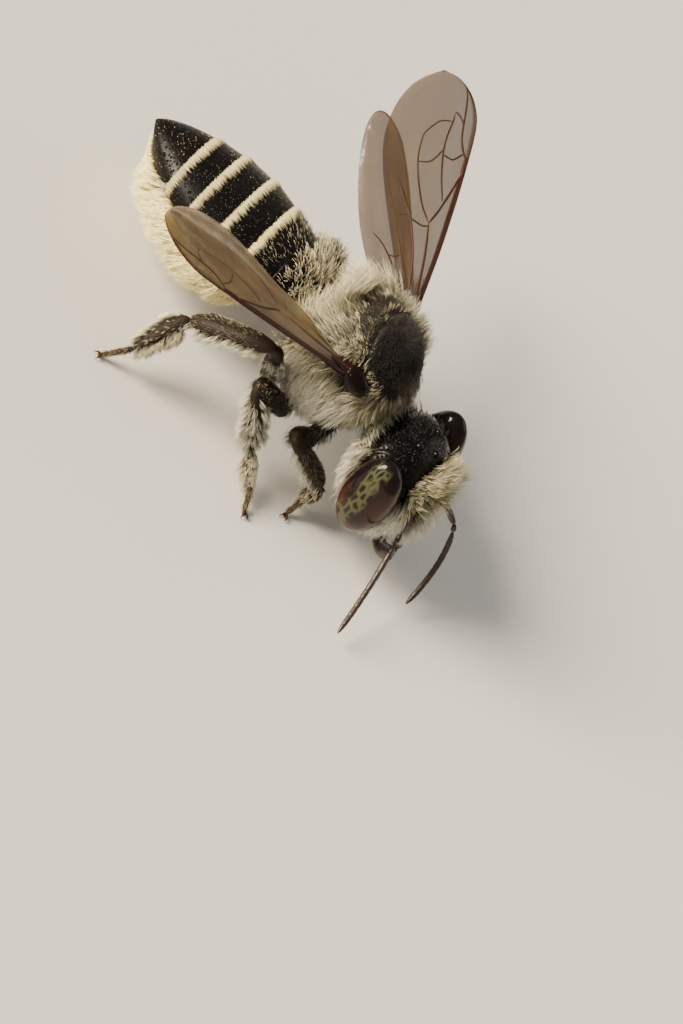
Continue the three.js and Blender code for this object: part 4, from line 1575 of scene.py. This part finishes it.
FOREWING = WingPlan(outline(6.65, 2.35, (
    (-0.12, 0, 0), (-0.2, 0, 0.3), (-0.28, 0, 0.62), (-0.12, 0, 0.84), (0.02, 0, 0.98),
    (0, 0.34, 1.02), (0, 0.52, 0.97), (0, 0.85, 0.88), (0, 0.98, 0.7), (0, 0.88, 0.55),
    (0, 0.72, 0.36), (0, 0.3, 0.16), (0.32, 0, 0),
)), 0.74, 0.6)
HINDWING = WingPlan(outline(5.3, 1.6, (
    (-0.15, 0, 0), (0, -0.2, 0.3), (0, -0.35, 0.6), (0, -0.25, 0.85), (0, -0.1, 1.0),
    (0, 0.15, 1.02), (0, 0.35, 0.9), (0, 0.7, 0.68), (0, 0.8, 0.35), (0, 0.55, 0.18),
    (0, 0.4, 0.08), (0, 0.3, 0.04), (0.2, 0, 0),
)), 0.8, 0.24)

# Veins as (radius at the root end, radius at the far end, (span, chord) spots along the vein).
FOREWING_VEINS = (
    (0.055, 0.045, ((0.0, 0.14), (0.2, 0.05), (0.4, 0.03), (0.56, 0.025))),
    (0.04, 0.035, ((0.0, 0.2), (0.2, 0.1), (0.4, 0.075), (0.54, 0.05))),
    (0.07, 0.05, ((0.53, 0.035), (0.57, 0.04), (0.61, 0.035))),
    (0.03, 0.025, ((0.6, 0.015), (0.74, 0.01), (0.87, 0.03))),
    (0.03, 0.022, ((0.6, 0.05), (0.67, 0.14), (0.77, 0.16), (0.87, 0.04))),
    (0.045, 0.03, ((0.0, 0.42), (0.18, 0.36), (0.34, 0.38))),
    (0.03, 0.03, ((0.34, 0.38), (0.4, 0.23), (0.47, 0.12), (0.53, 0.06))),
    (0.026, 0.022, ((0.42, 0.22), (0.52, 0.31), (0.65, 0.34), (0.77, 0.3))),
    (0.024, 0.022, ((0.62, 0.09), (0.59, 0.2), (0.6, 0.33))),
    (0.024, 0.02, ((0.74, 0.16), (0.76, 0.23), (0.77, 0.3))),
    (0.028, 0.02, ((0.34, 0.38), (0.42, 0.54), (0.55, 0.62), (0.68, 0.6))),
    (0.022, 0.02, ((0.62, 0.34), (0.57, 0.46), (0.56, 0.62))),
    (0.022, 0.018, ((0.74, 0.31), (0.73, 0.46), (0.67, 0.6))),
    (0.024, 0.022, ((0.33, 0.38), (0.33, 0.52), (0.35, 0.68))),
    (0.035, 0.02, ((0.0, 0.75), (0.18, 0.64), (0.35, 0.68), (0.5, 0.84))),
)
HINDWING_VEINS = (
    (0.04, 0.025, ((0.0, 0.2), (0.25, 0.08), (0.5, 0.05), (0.68, 0.06))),
    (0.028, 0.018, ((0.1, 0.3), (0.3, 0.34), (0.5, 0.38), (0.7, 0.46))),
    (0.028, 0.02, ((0.0, 0.6), (0.2, 0.56), (0.38, 0.68), (0.46, 0.82))),
    (0.02, 0.018, ((0.46, 0.06), (0.47, 0.22), (0.5, 0.38))),
    (0.02, 0.018, ((0.3, 0.34), (0.3, 0.48), (0.32, 0.62))),
)


@dataclass(frozen=True, kw_only=True, eq=False)
class Membrane(Skin):
    """A wing's film: a thin closed blade over a plan, arched across and dipping towards its tip."""

    plan: WingPlan
    side: Side
    turned: float
    lower: float = 0.0
    thick: float = 0.03
    columns: int = 72
    rows: int = 70

    def laid(self, span: Array, chord: Array, lift: Array | float = 0.0) -> Array:
        """A place on the wing in its own frame: turned in its plane, mirrored for the right side."""
        flat = self.plan.spot(span, chord) @ turn(2, self.turned)[:2, :2].T
        crease = 0.02 * np.sin(2 * np.pi * chord * 3.5 + 1.0) * (1 - 0.5 * span)
        arch = 0.13 * 4 * chord * (1 - chord) - 0.12 * span**2 + crease - self.lower
        return stack(-self.side.value * flat[..., 0], flat[..., 1], arch + lift)

    def at(self, around: Array, along: Array) -> Array:
        """Round the section of the blade: over the top from the front edge and back below."""
        theta = 2 * np.pi * around
        return self.laid(along, (1 - np.cos(theta)) / 2, np.sin(theta) * self.thick / 2)

    def root_stain(self, at: Spots) -> Array:
        """Darker and redder at the root and along the front edge."""
        chord = (1 - np.cos(2 * np.pi * at.around)) / 2
        return np.clip(0.9 * fade(at.along, 0.02, 0.17) + 0.7 * fade(chord, 0.02, 0.07), 0, 1)

    def vein(self, near: float, far: float, spots: tuple) -> Shell:
        """A tapering rod along a vein, half sunk in the film."""
        span, chord = np.array(spots, float).T
        even = smooth_path(stack(span, chord, 0.0), 14)
        path, radii = self.laid(even[:, 0], even[:, 1]), ((0, near), (1, far))
        return Rod(place=self.place, knots=path, radii=radii, flat=0.75, columns=8, rows=30).shell()

    def hinge(self) -> Shell:
        """The hinge plates at the wing's root, as one knob that reaches into the thorax."""
        knots = (self.laid(0.0, 0.5) - np.array([0, 0.28, 0]), self.laid(0.09, 0.3))
        radii = ((0, 0.15), (0.5, 0.13), (1, 0.05))
        return Rod(place=self.place, knots=knots, radii=radii, flat=0.6).shell()


@dataclass
class WingPair:
    """The forewing and hindwing of one side, spread from the body's axis, lifted and rolled."""

    side: Side
    spread: float
    lift: float
    roll: float
    fan: float
    film: WingFilm
    slot: Slot
    sweep: float = 9.5
    root: tuple[float, float, float] = (1.55, 0.02, 0.72)

    def place(self) -> Place:
        """The wings' frame on the thorax."""
        sign = self.side.value
        turned = turn(2, -sign * self.spread) @ turn(0, self.lift) @ turn(1, -sign * self.roll)
        return THORAX.child((sign * self.root[0], *self.root[1:]), turned)

    def build(self) -> None:
        """Film and veins of each wing, with the hinge plates at its root."""
        blade, label = partial(Membrane, place=self.place(), side=self.side), self.side.label
        fore = blade(plan=FOREWING, turned=self.sweep)
        hind = blade(plan=HINDWING, turned=self.sweep - self.fan, lower=0.07, rows=60)
        wings = {"forewing": (fore, FOREWING_VEINS), "hindwing": (hind, HINDWING_VEINS)}
        for word, (wing, runs) in wings.items():
            film = wing.shell(blush=wing.root_stain)
            put(f"{word}_film_{label}", film, self.film, self.slot, [f"{word}_{label}"])
            veins = joined([*(wing.vein(*run) for run in runs), wing.hinge()]).marked(blush=0.35)
            put(f"{word}_veins_{label}", veins, VEIN_CUTICLE, self.slot, [])


# ------------------------------------------------------------
# Legs
class Piece(Enum):
    """Pieces of a leg from the body outwards."""

    COXA = 0
    FEMUR = 1
    TIBIA = 2
    BASITARSUS = 3
    TARSUS = 4


@dataclass(frozen=True)
class LegPlan:
    """What the legs of a pair share: hip, lengths, and radii along their first four pieces."""

    hip: tuple[float, float, float]
    lengths: tuple[float, ...]
    coxa: tuple
    femur: tuple
    tibia: tuple
    basitarsus: tuple
    thick: float = 1.0  # how much hair it carries


FRONT_LEG = LegPlan(
    (0.45, -1.15, -1.1), (0.77, 1.33, 1.65, 0.62, 0.4), ((0, 0.26), (0.6, 0.22), (1, 0.16)),
    ((0, 0.17), (0.35, 0.28), (0.8, 0.24), (1, 0.18)), ((0, 0.16), (0.2, 0.22), (0.7, 0.25), (1, 0.16)),
    ((0, 0.13), (0.5, 0.2), (1, 0.12)), 0.8,
)
MID_LEG = LegPlan(
    (0.75, -0.15, -1.1), (0.82, 1.75, 1.9, 0.84, 0.56), ((0, 0.28), (0.6, 0.24), (1, 0.17)),
    ((0, 0.18), (0.35, 0.3), (0.85, 0.3), (1, 0.24)), ((0, 0.19), (0.2, 0.23), (0.75, 0.27), (1, 0.17)),
    ((0, 0.1), (0.4, 0.16), (1, 0.09)),
)
HIND_LEG = LegPlan(
    (0.7, 0.65, -1.05), (0.75, 2.35, 2.3, 1.47, 0.7), ((0, 0.3), (0.6, 0.25), (1, 0.18)),
    ((0, 0.15), (0.35, 0.26), (0.85, 0.2), (1, 0.16)),
    ((0, 0.17), (0.25, 0.28), (0.8, 0.33), (1, 0.22)), ((0, 0.18), (0.35, 0.26), (1, 0.13)), 1.15,
)
FOOT_HEIGHT = 0.19
CLAW_HEIGHT = 0.05


@dataclass
class Leg:
    """One leg: its plan, and its pieces' headings and rises in degrees, forward and up positive."""

    name: str
    plan: LegPlan
    side: Side
    heading: tuple[float, ...]
    rise: tuple[float, ...]
    seed: int

    def joints(self) -> list[Array]:
        """Hip, joints and foot in the common frame; the last piece comes down to a foot's height."""
        sign, (x, y, z) = self.side.value, self.plan.hip
        places = [THORAX.point((sign * x, y, z))]
        for k, length in enumerate(self.plan.lengths):
            start, ahead = places[-1], np.radians(self.heading[k])
            if k < len(self.rise):
                up = np.radians(self.rise[k])
            else:
                up = np.arcsin((FOOT_HEIGHT - start[2]) / length)
            flat = length * np.cos(up)
            step = (sign * flat * np.cos(ahead), -flat * np.sin(ahead), length * np.sin(up))
            places.append(start + np.array(step))
        return places

    def rod(self, start: Array, end: Array, radii: tuple, bow: float = 0.0, **more: float) -> Rod:
        """A piece of the leg from one joint to the next, bowed upwards by some millimetres."""
        middle = (start + end) / 2 + np.array([0, 0, bow])
        more = {"flat": 0.85, **more}
        return Rod(place=WORLD, knots=(start, middle, end), radii=radii, **more)

    def segments(self) -> dict[Piece, Rod]:
        """The rods of the five pieces."""
        hip, knee_in, knee, ankle, heel, foot = self.joints()
        sole, plan = np.array([foot[0], foot[1], CLAW_HEIGHT + 0.02]), self.plan
        toes = ((0, 0.075), (0.6, 0.06), (1, 0.055))
        return {
            Piece.COXA: self.rod(hip, knee_in, plan.coxa),
            Piece.FEMUR: self.rod(knee_in, knee, plan.femur, bow=0.05, columns=28, rows=34),
            Piece.TIBIA: self.rod(knee, ankle, plan.tibia, flat=0.8, bow=0.04, columns=28, rows=34),
            Piece.BASITARSUS: self.rod(ankle, heel, plan.basitarsus, flat=0.72, columns=24, rows=30),
            Piece.TARSUS: self.rod(heel, sole, toes, flat=0.9, joints=4, columns=18, rows=60),
        }

    def build(self) -> None:
        """All of the leg's hard parts: five rods, the knuckle of the hip, a spur, claws and a pad."""
        rods = self.segments()
        _, knuckle, knee, ankle, heel, _ = self.joints()
        spur = ankle + 0.32 * unit(heel - ankle + 0.6 * (ankle - knee))
        spur_root = ankle - 0.05 * rods[Piece.TIBIA].heading
        toe = rods[Piece.TARSUS].knots[-1]
        ahead = unit(rods[Piece.TARSUS].heading * np.array([1, 1, 0]))
        aside = np.array([-ahead[1], ahead[0], 0])
        skins = [*rods.values(), Ball.even(WORLD.child(knuckle), (0.19,) * 3, 24, 18)]
        skins.append(self.rod(spur_root, spur, ((0, 0.035), (1, 0.01)), columns=8, rows=10))
        for sign in (-1, 1):
            arc = toe + 0.1 * ahead + sign * 0.06 * aside + np.array([0, 0, 0.03])
            tip = toe + 0.19 * ahead + sign * 0.1 * aside - np.array([0, 0, CLAW_HEIGHT])
            radii = ((0, 0.035), (0.6, 0.022), (1, 0.006))
            skins.append(Rod(place=WORLD, knots=(toe, arc, tip), radii=radii, columns=10, rows=14))
        skins.append(Ball.even(WORLD.child(toe + 0.04 * ahead), (0.06,) * 3, 16, 12, top=0.05))
        shell = joined([skin.shell() for skin in skins])
        shell.marks["blush"] = 0.4 * fade(shell.points[:, 2], 0.1, 0.6)
        nodes = [f"{piece.name.lower()}_{self.name}" for piece in Piece]
        put(f"leg_{self.name}", shell, LEG_CUTICLE, Slot.LEG, nodes)

    def fur(self, corner: int) -> list[Patch]:
        """Short hair over the leg, pale fringes below femur and tibia, a brush on the basitarsus.

        Args:
            corner: number of the leg, which picks its part of the unwrap.

        Returns:
            the patches of fur.
        """
        rods, patches, size = self.segments(), [], self.plan.thick
        hind, front = self.plan is HIND_LEG, self.plan is FRONT_LEG
        outward = np.array([self.side.value * 0.4, 0.0, 0.0])
        lean = np.array([-self.side.value * 0.41, 0.83, 0.38])  # of a hind leg's broad faces
        crest = {
            piece: unit(lean - rod.heading * (lean @ rod.heading)) if hind else rod.upright
            for piece, rod in rods.items()
        }
        hanging = {piece: 0.7 * rods[piece].heading - 0.75 * crest[piece] + outward for piece in Piece}

        def add(piece: Piece, number: int, count: float, **given: object) -> None:
            """One patch on a piece, with its own seed and its own tile of the unwrap."""
            tile = ((corner % 3) / 3 + (number % 3) / 9, (corner // 3) / 2 + (number // 3) / 9, 0.1)
            given = {"lie": rods[piece].heading, "rings": 2, **given}
            seed = self.seed + number
            patches.append(Patch(skin=rods[piece], count=int(count), seed=seed, tile=tile, **given))

        def facing(piece: Piece, at: Spots) -> Array:
            """How far the skin of a piece faces up its crest, from -1 to 1."""
            return rods[piece].normal(at.around, at.along) @ crest[piece]

        def beneath(piece: Piece, at: Spots) -> Array:
            """1 on the lower side of a piece."""
            return ease(-facing(piece, at), 0.2, 0.7) * ease(at.along, 0.12, 0.25)

        def above(piece: Piece, at: Spots) -> Array:
            """1 on the upper edge of a piece."""
            return ease(facing(piece, at), 0.8, 0.95) * ease(at.along, 0.12, 0.2)

        def before_knee(at: Spots) -> Array:
            """1 on the femur, but not at its ends."""
            return ease(at.along, 0.05, 0.15) * fade(at.along, 0.7, 0.85)

        def stripes(at: Spots) -> Array:
            """Paler hairs in slanting rows."""
            return 0.75 * ease(np.sin(2 * np.pi * (at.around * 3 + at.along * 13)), 0.55, 0.8)

        def below(piece: Piece, number: int, count: float, **given: object) -> None:
            """One patch of fringe that hangs from the lower side of a piece."""
            given = {"cover": partial(beneath, piece), "lie": hanging[piece], "width": 0.015, **given}
            add(piece, number, count, **given)

        femur, tibia, basitarsus = Piece.FEMUR, Piece.TIBIA, Piece.BASITARSUS
        bare, shaggy = hind or front, hind and self.side is Side.LEFT
        past_knee = lambda at: ease(at.along, 0.16, 0.3)
        fine = partial(add, lock=1, spread=0.03, width=0.013)
        add(Piece.COXA, 0, 260 * size, length=(0.22, 0.36), lift=(50, 25), lock=3, width=0.017,
            tone=GREY, other=CREAM, mix=0.6)
        if shaggy:
            fine(femur, 1, 950 * size, length=(0.22, 0.34), lift=(45, 25), tone=CREAM, other=CREAM)
        elif bare:
            fine(femur, 1, 380 * size, length=(0.07, 0.13), lift=(30, 10), cover=before_knee,
                 tone=GREY, other=CREAM, mix=0.2)
        else:
            fine(femur, 1, 800 * size, length=(0.07, 0.13), lift=(30, 10),
                 tone=GREY, other=CREAM, mix=0.5)
        below(femur, 2, 260 * size, length=(0.2, 0.36), lift=(50, 25), lock=3, spread=0.04,
              cover=lambda at: beneath(femur, at) * before_knee(at), tone=CREAM, other=WHITE)
        if hind:
            fine(tibia, 3, 1000, length=(0.07, 0.12), lift=(22, 6), width=0.014,
                 cover=past_knee, tone=SOOT, other=GOLD, mix=clouded(0.16, 0.16, 0.3, 12))
        elif front:
            fine(tibia, 3, 520, length=(0.07, 0.13), lift=(26, 8), width=0.012,
                 cover=past_knee, tone=SOOT, other=GREY, mix=0.45)
        else:
            add(tibia, 3, 1150, length=(0.2, 0.32), lift=(48, 28), lock=6, spread=0.035, gather=0.6,
                width=0.015, cover=past_knee, tone=GREY, other=WHITE, mix=clouded(0.65, 0.35, 0.25, 12))
        if shaggy:
            add(tibia, 10, 1100, length=(0.22, 0.34), lift=(60, 40), lock=2, spread=0.03,
                width=0.015, cover=lambda at: fade(at.along, 0.25, 0.6), tone=CREAM)
        if hind:
            fine(tibia, 8, 90, length=(0.05, 0.08), lift=(24, 8), spread=0.015, width=0.011,
                 cover=partial(above, tibia), tone=GOLD)
        below(tibia, 4, 700 * size, length=(0.26, 0.4), lift=(50, 26), lock=4, spread=0.035,
              tone=GOLD if hind else CREAM, other=WHITE)
        add(basitarsus, 5, 760 * size, length=(0.1, 0.17), lift=(28, 10), lock=3, spread=0.02,
            width=0.015, stray=6, cover=lambda at: ease(at.along, 0.0, 0.05),
            tone=SOOT if bare else GOLD, other=GOLD if bare else WHITE, mix=stripes)
        below(basitarsus, 6, 620 * size, length=(0.22, 0.36), lift=(48, 24), lock=4, spread=0.03,
              tone=GOLD, other=CREAM)
        add(basitarsus, 9, (420 if hind else 120) * size, lift=(42, 26), lock=3, spread=0.02,
            length=(0.2, 0.32) if hind else (0.1, 0.16), width=0.014, cover=partial(above, basitarsus),
            lie=rods[basitarsus].heading + 0.7 * crest[basitarsus], tone=GOLD)
        add(Piece.TARSUS, 7, 260 * size, length=(0.07, 0.13), lock=2, spread=0.02, width=0.013,
            tone=GREY, other=TAWNY, mix=0.25)
        return patches


# ------------------------------------------------------------
# Studio
def aimed(thing: bpy.types.ID, at: Array, side: Array, above: Array, back: Array) -> bpy.types.Object:
    """A lamp or camera in the scene, at a place in millimetres and looking away from `back`."""
    held = bpy.data.objects.new(thing.name, thing)
    held.matrix_world = Matrix([*np.stack([side, above, back, at * MM], -1).tolist(), [0, 0, 0, 1]])
    return linked(held)


@dataclass(frozen=True)
class Lamp:
    """A sun, or a disc if it has a size, that faces the bee."""

    name: str
    way: tuple[float, float, float]  # from the bee
    colour: str
    power: float  # W/m2 of a sun, W of a disc
    spread: float = 0.0  # degrees, of a sun
    size: float = 0.0  # mm, of a disc
    distance: float = 300.0  # mm

    def build(self) -> None:
        """Makes the lamp and turns it to the bee."""
        light = bpy.data.lights.new(self.name, "AREA" if self.size else "SUN")
        light.color, light.energy = linear(self.colour)[:3], self.power
        if self.size:
            light.shape, light.size = "DISK", self.size * MM
        else:
            light.angle = np.radians(self.spread)
        back = unit(np.array(self.way))
        side = unit(np.cross([0, 0, 1], back))
        aimed(light, THORAX.origin + back * self.distance, side, np.cross(back, side), back)


@dataclass
class Studio:
    """A plain pale floor, a broad key, a low warm one that skims the fur, a weak fill, the camera."""

    floor_half: float = 5000.0  # mm
    right: tuple[float, float, float] = (0.5033, -0.5564, 0.6611)
    above: tuple[float, float, float] = (0.4112, 0.8271, 0.3831)
    aim: tuple[float, float] = (-0.3047, -3.667)  # mm from the thorax's origin, to the right and up
    distance: float = 165.0  # mm
    lens: float = 249.4
    lamps: tuple[Lamp, ...] = (
        Lamp("key", (-0.48, 0.78, 0.46), "#fff1dc", 9.5, spread=26.0),
        Lamp("low key", (-0.53, 0.8, 0.12), "#ffe9c8", 3.4, spread=20.0),
        Lamp("fill", (0.7, -0.5, 0.6), "#fff6ea", 0.22, size=260.0, distance=380.0),
    )

    def floor(self) -> None:
        """A square sheet of paper at z = 0, as a grid of eight by eight faces."""
        line = np.linspace(-self.floor_half, self.floor_half, 9)
        corner = (np.arange(8)[:, None] * 9 + np.arange(8)).reshape(-1, 1)
        grid = stack(*np.meshgrid(line, line), 0.0).reshape(-1, 3)
        made("floor", Shell(grid, [corner + np.array([[0, 1, 10, 9]])]), FLOOR_PAPER)

    def camera(self) -> None:
        """The camera, in front of the bee's right shoulder, looking down on it."""
        right = unit(np.array(self.right))
        back = unit(np.cross(right, np.array(self.above)))
        above = np.cross(back, right)
        at = THORAX.origin + right * self.aim[0] + above * self.aim[1] + back * self.distance
        data = bpy.data.cameras.new("camera")
        data.lens, data.sensor_width, data.clip_start, data.clip_end = self.lens, 36.0, 0.01, 20.0
        bpy.context.scene.camera = aimed(data, at, right, above, back)

    def build(self) -> None:
        """Floor, lamps, surroundings and camera."""
        self.floor()
        for lamp in self.lamps:
            lamp.build()
        world = bpy.data.worlds.new("studio")
        world.use_nodes = True
        sky = world.node_tree.nodes["Background"].inputs
        sky["Color"].default_value, sky["Strength"].default_value = linear("#e9e9ea"), 0.42
        bpy.context.scene.world = world
        self.camera()


LEGS = (
    Leg("front_right", FRONT_LEG, Side.RIGHT, (22, -17, 114, 8, 10), (-65, 27, -23, -70), 100),
    Leg("mid_right", MID_LEG, Side.RIGHT, (13, -34, 99, 64, 49), (-51, 31, -50, -22), 110),
    Leg("hind_right", HIND_LEG, Side.RIGHT, (5, -18, -88, -10, -32), (-50, 51, -44, -49), 120),
    Leg("front_left", FRONT_LEG, Side.LEFT, (22, 5, 85, 60, 45), (-65, 20, -26, -60), 130),
    Leg("mid_left", MID_LEG, Side.LEFT, (13, -22, 60, 20, 25), (-51, 28, -52, -28), 140),
    Leg("hind_left", HIND_LEG, Side.LEFT, (30, -61, -92, -57, -50), (-60, 38, -73, -14), 150),
)
ANTENNAE = (
    Antenna(Side.RIGHT, (-0.68, -1.12, -0.89), (-1.6, -1.4, -1.85), (-2.96, -1.59, -2.55)),
    Antenna(Side.LEFT, (0.65, -1.79, -0.75), (0.75, -2.05, -1.8), (-0.3, -1.96, -2.78)),
)
WINGS = (
    WingPair(Side.RIGHT, 33.3, 5, 17.5, 12, AMBER_FILM, Slot.AMBER_WING),
    WingPair(Side.LEFT, 49, 5, 12, 26, SMOKY_FILM, Slot.SMOKY_WING),
)


def main() -> None:
    """Builds the studio, then the bee from the thorax outwards, then its coat."""
    Studio().build()
    bodies = [Thorax(), Head(), Abdomen()]
    for body in bodies:
        body.build()
    for side in Side:
        Tegula(side).build()
        Eye(side).build()
        Jaw(side).build()
    for part in (*ANTENNAE, *WINGS, *LEGS):
        part.build()
    for body in bodies:
        body.dress()
    for side in Side:
        patches = [patch for k, leg in enumerate(LEGS) if leg.side is side for patch in leg.fur(k)]
        coat(f"leg_hair_{side.label}", Slot.LEG, patches)


if __name__ == "__main__":
    main()
